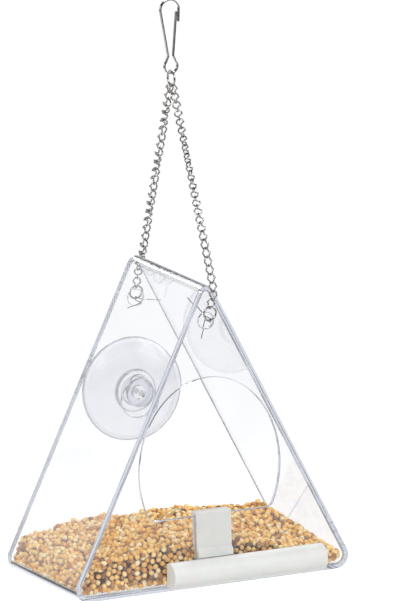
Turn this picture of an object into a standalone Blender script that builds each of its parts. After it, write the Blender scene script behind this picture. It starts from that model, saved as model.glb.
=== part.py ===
"""Hanging bird feeder of clear acrylic: a triangular house on two chains and a snap hook.

Metres, +Z up, +X to the right seen from the opening, +Y to the back. The origin is where the snap hook
bears on what it hangs from. The pieces are drawn in house places, whose zero is the middle of the lower
front edge of the house, as it would be with sharp corners.
"""

import math

import bmesh
import bpy
from mathutils import Matrix, Vector
from mathutils.geometry import interpolate_bezier

# Fits between pieces
SEAT_GAP = 0.0003
CUT_OVERRUN = 0.004

# House: a strip of sheet bent to a triangle, with a panel glued into each end
HOUSE_WIDTH = 0.198
HOUSE_HEIGHT = 0.1986
HOUSE_DEPTH = 0.102
SHEET = 0.003
FLOOR_CORNER_RADIUS = 0.0085
RIDGE_RADIUS = 0.006
BEND_STEPS = 8

# Opening in the front panel: an upright oval, cut off level by the lip that the perch hooks over. The lip
# cuts its share of the oval's lower half height, and the margin is left between the oval and the roof
OPENING_TOP_DROP = 0.0658
OPENING_MARGIN = 0.00486
OPENING_LIP_SHARE = 0.5113
LIP_HEIGHT = 0.0456
LIP_CORNER_RADIUS = 0.004
OPENING_STEPS = 44
LIP_CORNER_STEPS = 3

# Holes that the wire ties pass through, below the sharp ridge
TIE_HOLE_RADIUS = 0.0052
FRONT_HOLE_DROP = 0.0296
BACK_HOLE_DROP = 0.0346
HOLE_STEPS = 24

# Keyhole in the back panel: the cup's head goes in at the round end and slides up the slot
KEYHOLE_RADIUS = 0.0115
KEYHOLE_HEIGHT = 0.0985
SLOT_HALF_WIDTH = 0.00485
SLOT_STRAIGHT = 0.00062
KEYHOLE_STEPS = 24

# Suction cup
CUP_RADIUS = 0.033
CUP_LIFT = 0.0049
CUP_RISE = 0.0083
CUP_WALL = 0.0016
RIM_WIDTH = 0.003
HUB_RADIUS = 0.0133
HUB_THICKNESS = 0.0027
NECK_CLEARANCE = 0.0006
HEAD_RADIUS = 0.0093
HEAD_THICKNESS = 0.003
HEAD_EDGE_RADIUS = 0.001
NUB_RADIUS = 0.002
NUB_LENGTH = 0.0012
DISH_CURVE = 1.7
DISH_STEPS = 5
TURNED_STEPS = 40

# Seeds
SEED_LEVEL = 0.0284
SEED_LEFT_FALL = 0.0075
SEED_RIGHT_FALL = 0.0045
SEED_CORNER_FALL = 0.0135
SEED_FLAT_HALF = 0.03
SEED_RIPPLE = 0.0012
SEED_CELLS_ACROSS = 28
SEED_CELLS_DEEP = 14

# Perch: a rod with a flat back, and the strip bent over the lip that carries it
ROD_RADIUS = 0.0084
ROD_FLAT_DEPTH = 0.0049
ROD_LENGTH = 0.1054
ROD_CENTRE = 0.0207
ROD_DROP = 0.0349
ROD_EDGE = 0.0005
ROD_STEPS = 22
CLIP_WIDTH = 0.0239
CLIP_CENTRE = 0.0006
CLIP_THICKNESS = 0.002
CLIP_TOP_THICKNESS = 0.0024
CLIP_LEG_LENGTH = 0.0223
CLIP_BEND_RADIUS = 0.0012
CLIP_FOOT_DEPTH = 0.0024
CLIP_FOOT_HEIGHT = 0.0058
CLIP_FOOT_STEPS = 4

# Snap hook: one flat strip bent to a hook above and an eye below, whose free end is the gate
STRIP_WIDTH = 0.002
STRIP_THICKNESS = 0.0009
HOOK_X = 0.0031
HOOK_FORWARD = 0.002
EYE_RISE = 0.1184
EYE_RADIUS = 0.0044
SHANK_LENGTH = 0.0403
HOOK_BEND_RADIUS = 0.0063
HOOK_TIP_LENGTH = 0.0081
HOOK_TIP_LEAN = 0.0005
WAIST_RISE = 0.0108
WAIST_HALF_WIDTH = 0.0017
EYE_OPEN_ANGLE = math.radians(40)
GATE_STOP_DROP = 0.0015
GATE_GAP = 0.0004
STRIP_STEPS = 10

# Rings
TOP_RING_RADIUS = 0.00505
PANEL_RING_RADIUS = 0.00425
RING_WIRE_RADIUS = 0.00055
RING_PLAY = 0.0006
RING_STEPS = 20
RING_REACH = 0.003
FRONT_RING_X = 0.0011
FRONT_RING_RISE = 0.00515
BACK_RING_X = 0.0026
BACK_RING_RISE = 0.0022

# Chains: curb links, each bent a quarter turn from one end to the other, as long as their leg asks. Both
# legs hang twisted about their own lines: the front one half a turn, which eases out towards its foot, and
# the back one two turns the other way
LINK_WIRE_RADIUS = 0.00045
LINK_HALF_WIDTH = 0.00205
LINK_PLAY = 0.0004
LINK_END_STEPS = 5
LINK_BEND = math.radians(-90)
FRONT_LINKS = 22
BACK_LINKS = 24
FRONT_LEG_TWIST = math.radians(-180)
BACK_LEG_TWIST = math.radians(720)
FRONT_TWIST_EASE = 1.3
BACK_TWIST_EASE = 1
LEG_SPLAY = math.radians(24)
BEND_HANDLE = 0.014
BEND_REACH = 0.0038
BEND_DROP = 0.0011
FRONT_BEND_X = 0.0034
BACK_BEND_X = 0.0065
ROUTE_STEPS = 60

# Wire ties: each loops round a ring, passes its hole and is held by its two splayed ends, whose ways are
# shares of the house's half width at the hole
TIE_WIRE_RADIUS = 0.0003
TIE_LOOP_RADIUS = 0.0012
TIE_LOOP_STEPS = 6
TIE_INNER_REACH = 0.0016
FRONT_TIE_UPPER_SHARES = Vector((-0.122, 1.18, 0.536))
FRONT_TIE_LOWER_SHARES = Vector((-0.224, 0.014, -0.78))
BACK_TIE_UPPER_SHARES = Vector((0.614, -0.36, -0.038))
BACK_TIE_LOWER_SHARES = Vector((-0.58, -0.07, -0.113))

FRONT_INNER_FACE = SHEET
BACK_INNER_FACE = HOUSE_DEPTH - SHEET
FRONT_HOLE_HEIGHT = HOUSE_HEIGHT - FRONT_HOLE_DROP
BACK_HOLE_HEIGHT = HOUSE_HEIGHT - BACK_HOLE_DROP
CUP_HEIGHT = KEYHOLE_HEIGHT + CUP_LIFT
ROD_HEIGHT = LIP_HEIGHT - ROD_DROP
HOOK_Y = HOUSE_DEPTH / 2 - HOOK_FORWARD
EYE_BOTTOM_HEIGHT = HOUSE_HEIGHT + EYE_RISE
WAIST_HEIGHT = EYE_BOTTOM_HEIGHT + WAIST_RISE
HOOK_BEND_HEIGHT = EYE_BOTTOM_HEIGHT + SHANK_LENGTH
HOOK_TOP_HEIGHT = HOOK_BEND_HEIGHT + HOOK_BEND_RADIUS - STRIP_THICKNESS / 2
TOP_RING_HEIGHT = EYE_BOTTOM_HEIGHT + STRIP_THICKNESS / 2 + RING_PLAY + RING_WIRE_RADIUS - TOP_RING_RADIUS


def clear_scene():
    for obj in list(bpy.data.objects):
        bpy.data.objects.remove(obj)


def material(name, color, roughness, metallic=0.0, transmission=0.0):
    made = bpy.data.materials.new(name)
    made.use_nodes = True
    shader = made.node_tree.nodes["Principled BSDF"]
    shader.inputs["Base Color"].default_value = (*color, 1.0)
    shader.inputs["Roughness"].default_value = roughness
    shader.inputs["Metallic"].default_value = metallic
    shader.inputs["Transmission Weight"].default_value = transmission
    return made


# Empties

def add_axis(name, place, parent=None):
    """An empty at a house place, on the joint axis of the pieces that it carries."""
    axis = bpy.data.objects.new(name, None)
    bpy.context.scene.collection.objects.link(axis)
    axis.parent = parent
    axis.location = place - house_place(parent)
    return axis


def house_place(axis):
    """Where an empty lies from the house's own zero."""
    place = Vector((0, 0, 0))
    while axis and axis.parent:
        place += axis.location
        axis = axis.parent
    return place


def carry(obj, axis, look):
    """Hangs an object drawn in house places on the empty of its joint and gives it its material."""
    obj.parent = axis
    obj.location = -house_place(axis)
    obj.data.materials.append(look)
    return obj


# Shapes

def new_object(name, data):
    obj = bpy.data.objects.new(name, data)
    bpy.context.scene.collection.objects.link(obj)
    return obj


def mesh_object(name, shape):
    """An object from a bmesh, with its faces turned outwards."""
    bmesh.ops.recalc_face_normals(shape, faces=shape.faces)
    mesh = bpy.data.meshes.new(name)
    shape.to_mesh(mesh)
    shape.free()
    mesh.shade_smooth()
    mesh.set_sharp_from_angle(angle=math.radians(30))
    return new_object(name, mesh)


def rounded(corners, radii, steps):
    """A polygon's points, counter-clockwise, with each corner that has a radius turned into an arc."""
    points = []
    for index, corner in enumerate(corners):
        if not radii[index]:
            points.append(corner)
            continue
        before = (corners[index - 1] - corner).normalized()
        after = (corners[(index + 1) % len(corners)] - corner).normalized()
        half = before.angle(after) / 2
        centre = corner + (before + after).normalized() * radii[index] / math.sin(half)
        start = corner + before * radii[index] / math.tan(half) - centre
        for step in range(steps + 1):
            turn = Matrix.Rotation((math.pi - 2 * half) * step / steps, 2)
            points.append(centre + turn @ start)
    return points


def arc(centre, radius, first, last, steps):
    """Points on a circle from the first angle to the last."""
    angles = [first + (last - first) * step / steps for step in range(steps + 1)]
    return [Vector(centre) + radius * Vector((math.cos(angle), math.sin(angle))) for angle in angles]


def extruded(name, outline, low, high, along="Y"):
    """A solid with this outline, from low to high along X or Y. The outline is (across, up)."""
    shape = bmesh.new()
    if along == "X":
        verts = [shape.verts.new((low, across, up)) for across, up in outline]
        travel = (high - low, 0, 0)
    else:
        verts = [shape.verts.new((across, low, up)) for across, up in outline]
        travel = (0, high - low, 0)
    cap = shape.faces.new(verts)
    grown = bmesh.ops.extrude_face_region(shape, geom=[cap])["geom"]
    moved = [item for item in grown if isinstance(item, bmesh.types.BMVert)]
    bmesh.ops.translate(shape, verts=moved, vec=travel)
    return mesh_object(name, shape)


def cut(obj, cutter, operation="DIFFERENCE"):
    """Cuts an object with another, which stays as a hidden guide."""
    cutter.hide_render = True
    cutter.display_type = "WIRE"
    cutter.parent = obj
    boolean = obj.modifiers.new(cutter.name, "BOOLEAN")
    boolean.object = cutter
    boolean.operation = operation


def wire_curve(name, points, radius, closed):
    """A round wire through the points, as curve data that several objects may share."""
    curve = bpy.data.curves.new(name, "CURVE")
    curve.dimensions = "3D"
    curve.bevel_depth = radius
    curve.bevel_resolution = 1
    curve.use_fill_caps = not closed
    spline = curve.splines.new("POLY")
    spline.points.add(len(points) - 1)
    for target, point in zip(spline.points, points):
        target.co = (*point, 1.0)
    spline.use_cyclic_u = closed
    return curve


def ribbon(points, thickness):
    """The outline of a strip bent along the points, seen on its edge."""
    left, right = [], []
    for index, point in enumerate(points):
        ahead = points[min(index + 1, len(points) - 1)] - point
        behind = point - points[max(index - 1, 0)]
        way = (ahead.normalized() + behind.normalized()).normalized()
        side = Vector((-way.y, way.x)) * thickness / 2
        left.append(point + side)
        right.append(point - side)
    return left + right[::-1]


# House

def half_width_at(height):
    """From the middle to the roof's outer face."""
    return HOUSE_WIDTH / 2 * (1 - height / HOUSE_HEIGHT)


def ridge_top():
    """The rounded ridge's highest line."""
    slope = math.hypot(HOUSE_WIDTH / 2, HOUSE_HEIGHT)
    return HOUSE_HEIGHT - RIDGE_RADIUS * (slope / (HOUSE_WIDTH / 2) - 1)


def house_corners(inset):
    """The triangle's sharp corners, this far inside the outer face."""
    left, right = Vector((-HOUSE_WIDTH / 2, 0)), Vector((HOUSE_WIDTH / 2, 0))
    apex = Vector((0, HOUSE_HEIGHT))
    slope = (apex - right).length
    inradius = HOUSE_WIDTH * HOUSE_HEIGHT / (HOUSE_WIDTH + 2 * slope)
    middle = Vector((0, inradius))
    return [middle + (corner - middle) * (1 - inset / inradius) for corner in (left, right, apex)]


def house_outline(inset):
    radii = [FLOOR_CORNER_RADIUS - inset, FLOOR_CORNER_RADIUS - inset, RIDGE_RADIUS - inset]
    return rounded(house_corners(inset), radii, BEND_STEPS)


def make_shell():
    """Floor and both roofs: one strip bent round, open at its two ends."""
    shape = bmesh.new()
    outer = [shape.verts.new((x, 0, z)) for x, z in house_outline(0)]
    inner = [shape.verts.new((x, 0, z)) for x, z in house_outline(SHEET)]
    faces = []
    for index in range(len(outer)):
        before = index - 1
        faces.append(shape.faces.new((outer[before], outer[index], inner[index], inner[before])))
    grown = bmesh.ops.extrude_face_region(shape, geom=faces)["geom"]
    moved = [item for item in grown if isinstance(item, bmesh.types.BMVert)]
    bmesh.ops.translate(shape, verts=moved, vec=(0, HOUSE_DEPTH, 0))
    return mesh_object("folded_shell", shape)


def round_cutter(name, height):
    """A tie hole's cutter, long enough for either panel."""
    ring = arc((0, height), TIE_HOLE_RADIUS, 0, math.tau, HOLE_STEPS)[:-1]
    return extruded(name, ring, -CUT_OVERRUN, HOUSE_DEPTH + CUT_OVERRUN)


def oval_half_width(middle, half_height):
    """Half width of the upright oval whose side comes this near to the roof, square to it."""
    slope = math.hypot(HOUSE_WIDTH / 2, HOUSE_HEIGHT)
    sideways, upward = HOUSE_HEIGHT / slope, HOUSE_WIDTH / 2 / slope
    room = half_width_at(middle) * sideways - OPENING_MARGIN
    return math.sqrt(room ** 2 - (half_height * upward) ** 2) / sideways


def opening_outline():
    """The oval above the lip, counter-clockwise from the lip's right end, with rounded corners there."""
    top = HOUSE_HEIGHT - OPENING_TOP_DROP
    half_height = (top - LIP_HEIGHT) / (1 + OPENING_LIP_SHARE)
    middle = top - half_height
    half_width = oval_half_width(middle, half_height)
    first = -math.asin(OPENING_LIP_SHARE)
    sweep = math.pi - 2 * first
    oval = []
    for step in range(OPENING_STEPS + 1):
        angle = first + sweep * step / OPENING_STEPS
        oval.append(Vector((half_width * math.cos(angle), middle + half_height * math.sin(angle))))
    radii = [LIP_CORNER_RADIUS] + [0] * (OPENING_STEPS - 1) + [LIP_CORNER_RADIUS]
    return rounded(oval, radii, LIP_CORNER_STEPS)


def make_front_panel():
    panel = extruded("front_panel", house_outline(SHEET + SEAT_GAP), 0, SHEET)
    window = extruded("opening_cutter", opening_outline(), -CUT_OVERRUN, SHEET + CUT_OVERRUN)
    cut(panel, window)
    cut(panel, round_cutter("front_hole_cutter", FRONT_HOLE_HEIGHT))
    return panel


def keyhole_outline():
    """Round below, with the slot's sides and round top above."""
    meet = math.acos(SLOT_HALF_WIDTH / KEYHOLE_RADIUS)
    below = arc((0, KEYHOLE_HEIGHT), KEYHOLE_RADIUS, math.pi - meet, math.tau + meet, KEYHOLE_STEPS)
    above = arc((0, below[-1].y + SLOT_STRAIGHT), SLOT_HALF_WIDTH, 0, math.pi, BEND_STEPS)
    return below + above


def make_back_panel():
    panel = extruded("back_panel", house_outline(SHEET + SEAT_GAP), BACK_INNER_FACE, HOUSE_DEPTH)
    front, back = BACK_INNER_FACE - CUT_OVERRUN, HOUSE_DEPTH + CUT_OVERRUN
    cut(panel, extruded("keyhole_cutter", keyhole_outline(), front, back))
    cut(panel, round_cutter("back_hole_cutter", BACK_HOLE_HEIGHT))
    return panel


# Seeds

def eased(value):
    """0 below zero, 1 above one, and smooth between."""
    share = min(max(value, 0), 1)
    return share * share * (3 - 2 * share)


def seed_ripple(x, y):
    """The uneven skin of loose grain, from 1 to -1."""
    across, deep = math.tau * x / HOUSE_WIDTH, math.tau * y / HOUSE_DEPTH
    return math.sin(5.3 * across + 1.7 * deep) * math.sin(2.1 * across - 3.4 * deep + 1)


def seed_height(x, y):
    """Level in the middle, falling to the left, the right and the front right corner."""
    reach = HOUSE_WIDTH / 2 - SEED_FLAT_HALF
    left = eased((-x - SEED_FLAT_HALF) / reach)
    right = eased((x - SEED_FLAT_HALF / 2) / reach)
    front = 1 - y / HOUSE_DEPTH
    level = SEED_LEVEL - SEED_LEFT_FALL * left - right * (SEED_RIGHT_FALL + SEED_CORNER_FALL * front)
    return level + SEED_RIPPLE * seed_ripple(x, y)


def make_seed_fill(clip_leg):
    """The heap of seed: what the floor, roofs and panels leave, up to the seed's surface."""
    gap = SHEET + SEAT_GAP
    fill = extruded("seed_fill", house_outline(gap), FRONT_INNER_FACE + SEAT_GAP, BACK_INNER_FACE - SEAT_GAP)
    shape = bmesh.new()
    rows = []
    for deep in range(SEED_CELLS_DEEP + 1):
        y = -CUT_OVERRUN + (HOUSE_DEPTH + 2 * CUT_OVERRUN) * deep / SEED_CELLS_DEEP
        xs = [HOUSE_WIDTH * (across / SEED_CELLS_ACROSS - 0.5) for across in range(SEED_CELLS_ACROSS + 1)]
        rows.append([shape.verts.new((x, y, seed_height(x, y))) for x in xs])
    for near, far in zip(rows, rows[1:]):
        for index in range(SEED_CELLS_ACROSS):
            shape.faces.new((near[index], near[index + 1], far[index + 1], far[index]))
    grown = bmesh.ops.extrude_face_region(shape, geom=shape.faces[:])["geom"]
    for item in grown:
        if isinstance(item, bmesh.types.BMVert):
            item.co.z = -CUT_OVERRUN
    cut(fill, mesh_object("seed_surface_cutter", shape), "INTERSECT")
    cut(fill, clip_leg)
    return fill


# Perch

def clip_leg_faces():
    """Front and back of the clip's inner leg, and the height of its lower end."""
    front = FRONT_INNER_FACE + SEAT_GAP
    return front, front + CLIP_THICKNESS, clip_top() - CLIP_LEG_LENGTH


def clip_top():
    return LIP_HEIGHT + SEAT_GAP + CLIP_TOP_THICKNESS


def make_clip_leg_cutter():
    """Room in the seed for the clip's inner leg."""
    back, low = clip_leg_faces()[1:]
    near, far, under = FRONT_INNER_FACE - CUT_OVERRUN, back + SEAT_GAP, low - SEAT_GAP
    places = ((near, under), (far, under), (far, clip_top()), (near, clip_top()))
    outline = [Vector(place) for place in places]
    half = CLIP_WIDTH / 2 + SEAT_GAP
    return extruded("clip_leg_cutter", outline, CLIP_CENTRE - half, CLIP_CENTRE + half, "X")


def rod_axis_depth():
    return -SEAT_GAP - ROD_FLAT_DEPTH


def make_perch_clip():
    """A strip bent down both sides of the lip, with a thicker foot that is glued along the rod."""
    front, back, low = clip_leg_faces()
    top = clip_top()
    face = -SEAT_GAP - CLIP_THICKNESS
    seat = ROD_RADIUS + SEAT_GAP
    nose = face - CLIP_FOOT_DEPTH - rod_axis_depth()
    first, last = math.acos(nose / seat), math.acos(ROD_FLAT_DEPTH / seat)
    foot = arc((rod_axis_depth(), ROD_HEIGHT), seat, first, last, CLIP_FOOT_STEPS)
    waist = foot[0].y + CLIP_FOOT_HEIGHT
    bend = CLIP_BEND_RADIUS
    outline = foot
    outline += [Vector((-SEAT_GAP, LIP_HEIGHT + SEAT_GAP)), Vector((front, LIP_HEIGHT + SEAT_GAP))]
    outline += [Vector((front, low)), Vector((back, low))]
    outline += arc((back - bend, top - bend), bend, 0, math.pi / 2, CLIP_FOOT_STEPS)
    outline += arc((face + bend, top - bend), bend, math.pi / 2, math.pi, CLIP_FOOT_STEPS)
    outline += [Vector((face, waist)), Vector((foot[0].x, waist - CLIP_FOOT_DEPTH))]
    return extruded("perch_clip", outline, CLIP_CENTRE - CLIP_WIDTH / 2, CLIP_CENTRE + CLIP_WIDTH / 2, "X")


def make_perch_bar():
    """A round rod planed flat along the back."""
    edge = math.acos(ROD_FLAT_DEPTH / ROD_RADIUS)
    outline = arc((rod_axis_depth(), ROD_HEIGHT), ROD_RADIUS, edge, math.tau - edge, ROD_STEPS)
    half = ROD_LENGTH / 2
    rod = extruded("perch_bar", outline, ROD_CENTRE - half, ROD_CENTRE + half, "X")
    bevel = rod.modifiers.new("edges", "BEVEL")
    bevel.width = ROD_EDGE
    bevel.segments = 1
    bevel.limit_method = "ANGLE"
    bevel.angle_limit = math.radians(50)
    return rod


# Suction cup

def cup_profile():
    """Half of the cup's section as (radius, depth): nub, head, neck, hub, rim and the hollow's middle."""
    head_back = BACK_INNER_FACE - SEAT_GAP
    head_front = head_back - HEAD_THICKNESS
    hub_front = HOUSE_DEPTH + SEAT_GAP
    hub_back = hub_front + HUB_THICKNESS
    rim = hub_back + CUP_RISE
    neck = SLOT_HALF_WIDTH - NECK_CLEARANCE
    profile = [(0, head_front - NUB_LENGTH), (NUB_RADIUS, head_front - NUB_LENGTH), (NUB_RADIUS, head_front)]
    profile += [(HEAD_RADIUS - HEAD_EDGE_RADIUS, head_front), (HEAD_RADIUS, head_front + HEAD_EDGE_RADIUS)]
    profile += [(HEAD_RADIUS, head_back), (neck, head_back), (neck, hub_front), (HUB_RADIUS, hub_front)]
    outside, inside = [], []
    for step in range(DISH_STEPS + 1):
        share = step / DISH_STEPS
        radius = HUB_RADIUS + (CUP_RADIUS - HUB_RADIUS) * share
        depth = hub_back + (CUP_RISE - CUP_WALL) * share ** DISH_CURVE
        outside.append((radius, depth))
        inside.append((radius - RIM_WIDTH * share, depth + CUP_WALL))
    profile += outside + [(CUP_RADIUS, rim)] + inside[::-1] + [(0, hub_back + CUP_WALL)]
    return profile


def make_suction_cup():
    shape = bmesh.new()
    verts = [shape.verts.new((radius, depth, CUP_HEIGHT)) for radius, depth in cup_profile()]
    edges = [shape.edges.new(pair) for pair in zip(verts, verts[1:])]
    bmesh.ops.spin(
        shape,
        geom=verts + edges,
        cent=(0, 0, CUP_HEIGHT),
        axis=(0, 1, 0),
        angle=math.tau,
        steps=TURNED_STEPS,
        use_merge=True,
    )
    bmesh.ops.remove_doubles(shape, verts=shape.verts, dist=NECK_CLEARANCE / 100)
    return mesh_object("suction_cup", shape)


# Snap hook

def eye_centre():
    return Vector((HOOK_X, EYE_BOTTOM_HEIGHT + EYE_RADIUS))


def gate_root():
    """Where the eye's free side ends and the gate begins."""
    return arc(eye_centre(), EYE_RADIUS, EYE_OPEN_ANGLE, EYE_OPEN_ANGLE, 1)[0]


def make_snap_hook():
    bend = Vector((HOOK_X, HOOK_BEND_HEIGHT))
    tip = bend + Vector((HOOK_BEND_RADIUS - HOOK_TIP_LEAN, -HOOK_TIP_LENGTH))
    route = [tip] + arc(bend, HOOK_BEND_RADIUS, 0, math.pi, STRIP_STEPS)
    route.append(Vector((HOOK_X - WAIST_HALF_WIDTH, WAIST_HEIGHT)))
    first, last = math.pi - EYE_OPEN_ANGLE, math.tau + EYE_OPEN_ANGLE
    route += arc(eye_centre(), EYE_RADIUS, first, last, 2 * STRIP_STEPS)
    half = STRIP_WIDTH / 2
    return extruded("snap_hook", ribbon(route, STRIP_THICKNESS), HOOK_Y - half, HOOK_Y + half)


def make_hook_gate():
    """The strip's springy free end, which rises from the eye and rests behind the hook's tip."""
    waist = Vector((HOOK_X + WAIST_HALF_WIDTH, WAIST_HEIGHT))
    away = (waist - gate_root()).normalized() * SEAT_GAP
    tip_face = HOOK_X + HOOK_BEND_RADIUS - HOOK_TIP_LEAN - STRIP_THICKNESS / 2
    stop = Vector((tip_face - GATE_GAP - STRIP_THICKNESS / 2, HOOK_BEND_HEIGHT - GATE_STOP_DROP))
    half = STRIP_WIDTH / 2
    outline = ribbon([gate_root() + away, waist, stop], STRIP_THICKNESS)
    return extruded("hook_gate", outline, HOOK_Y - half, HOOK_Y + half)


# Rings and wire ties

def ring_points(centre, radius, across):
    """A circle in the plane of Z and the given direction."""
    points = []
    for step in range(RING_STEPS):
        angle = math.tau * step / RING_STEPS
        points.append(centre + radius * (math.cos(angle) * across + math.sin(angle) * Vector((0, 0, 1))))
    return points


def make_ring(name, centre, radius, across):
    return new_object(name, wire_curve(name, ring_points(centre, radius, across), RING_WIRE_RADIUS, True))


def top_ring_centre():
    return Vector((HOOK_X, HOOK_Y, TOP_RING_HEIGHT))


def front_ring_centre():
    return Vector((FRONT_RING_X, -RING_REACH, FRONT_HOLE_HEIGHT + FRONT_RING_RISE))


def back_ring_centre():
    return Vector((BACK_RING_X, HOUSE_DEPTH + RING_REACH, BACK_HOLE_HEIGHT + BACK_RING_RISE))


def make_wire_tie(name, ring_centre, outward, upper_way, lower_way, inner_face):
    """A wire looped round the ring's foot, both ends through the hole and splayed inside."""
    foot = ring_centre - Vector((0, 0, PANEL_RING_RADIUS))
    inside = inner_face - outward * TIE_INNER_REACH
    rise = Vector((0, 0, TIE_LOOP_RADIUS))
    upper = Vector((foot.x, inside, foot.z)) + rise
    lower = Vector((foot.x, inside, foot.z)) - rise
    loop = []
    for step in range(TIE_LOOP_STEPS + 1):
        angle = math.pi / 2 - math.pi * step / TIE_LOOP_STEPS
        loop.append(foot + TIE_LOOP_RADIUS * Vector((0, outward * math.cos(angle), math.sin(angle))))
    route = [upper + upper_way, upper] + loop + [lower, lower + lower_way]
    return new_object(name, wire_curve(name, route, TIE_WIRE_RADIUS, False))


def make_front_tie():
    room = half_width_at(FRONT_HOLE_HEIGHT)
    upper, lower = FRONT_TIE_UPPER_SHARES * room, FRONT_TIE_LOWER_SHARES * room
    return make_wire_tie("front_wire_tie", front_ring_centre(), -1, upper, lower, FRONT_INNER_FACE)


def make_back_tie():
    room = half_width_at(BACK_HOLE_HEIGHT)
    upper, lower = BACK_TIE_UPPER_SHARES * room, BACK_TIE_LOWER_SHARES * room
    return make_wire_tie("back_wire_tie", back_ring_centre(), 1, upper, lower, BACK_INNER_FACE)


# Chains

def link_points(half_length):
    """One link's centre line: an oval along Z, its lower end turned a quarter round from its upper end."""
    straight = half_length - LINK_HALF_WIDTH
    flat = [Vector((LINK_HALF_WIDTH, 0))]
    flat += arc((0, straight), LINK_HALF_WIDTH, 0, math.pi, LINK_END_STEPS)
    flat += [Vector((-LINK_HALF_WIDTH, 0))]
    flat += arc((0, -straight), LINK_HALF_WIDTH, math.pi, math.tau, LINK_END_STEPS)
    points = []
    for side, up in flat:
        turn = LINK_BEND / 2 * (1 - max(-1, min(1, up / straight)))
        points.append(Vector((side * math.cos(turn), side * math.sin(turn), up)))
    return points


def leg_route(start, bend, end):
    """A chain leg's line: straight to the edge of the house, over it and down to the ring."""
    along = (end - start).normalized() * BEND_HANDLE
    upper = interpolate_bezier(start, start.lerp(bend, 0.5), bend - along, bend, ROUTE_STEPS)
    lower = interpolate_bezier(bend, bend + along / 2, end.lerp(bend, 0.5), end, ROUTE_STEPS)
    return upper + lower[1:]


def place_on(route, distance):
    """The point at this distance along the route, and the way that it runs there."""
    for first, second in zip(route, route[1:]):
        step = (second - first).length
        if distance <= step or second is route[-1]:
            return first.lerp(second, distance / step)
        distance -= step


def make_leg(name, count, twist, ease, start, bend, end, axis, look):
    """The links of one chain leg, which share its length, from the top ring down to the panel's ring."""
    route = leg_route(start, bend, end)
    length = sum((second - first).length for first, second in zip(route, route[1:]))
    ring_hold = RING_WIRE_RADIUS + SEAT_GAP
    pitch = (length - LINK_PLAY + 2 * ring_hold) / count
    inner_half = (pitch + LINK_PLAY) / 2
    seat = inner_half - ring_hold
    link = wire_curve(f"{name}_link", link_points(inner_half + LINK_WIRE_RADIUS), LINK_WIRE_RADIUS, True)
    link.materials.append(look)
    for index in range(count):
        distance = seat + pitch * index
        centre = place_on(route, distance)
        up = (place_on(route, distance - seat) - place_on(route, distance + seat)).normalized()
        side = (Vector((1, 0, 0)) - up * up.x).normalized()
        roll = Matrix.Rotation(twist * (1 - (1 - index / (count - 1)) ** ease), 3, "Z")
        turn = Matrix((side, up.cross(side), up)).transposed() @ roll
        obj = new_object(f"{name}_link_{index + 1:02d}", link)
        obj.parent = axis
        obj.location = centre - house_place(axis)
        obj.rotation_euler = turn.to_euler()


def make_chains(axis, look):
    foot = Vector((0, -math.sin(LEG_SPLAY), -math.cos(LEG_SPLAY))) * TOP_RING_RADIUS
    mirrored = Vector((0, -foot.y, foot.z))
    rise = Vector((0, 0, PANEL_RING_RADIUS))
    ring = top_ring_centre()
    front_bend = Vector((FRONT_BEND_X, -BEND_REACH, ridge_top() - BEND_DROP))
    back_bend = Vector((BACK_BEND_X, HOUSE_DEPTH + BEND_REACH, ridge_top() - BEND_DROP))
    front_foot, back_foot = front_ring_centre() + rise, back_ring_centre() + rise
    make_leg("front", FRONT_LINKS, FRONT_LEG_TWIST, FRONT_TWIST_EASE, ring + foot, front_bend, front_foot,
             axis, look)
    make_leg("back", BACK_LINKS, BACK_LEG_TWIST, BACK_TWIST_EASE, ring + mirrored, back_bend, back_foot,
             axis, look)


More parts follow.
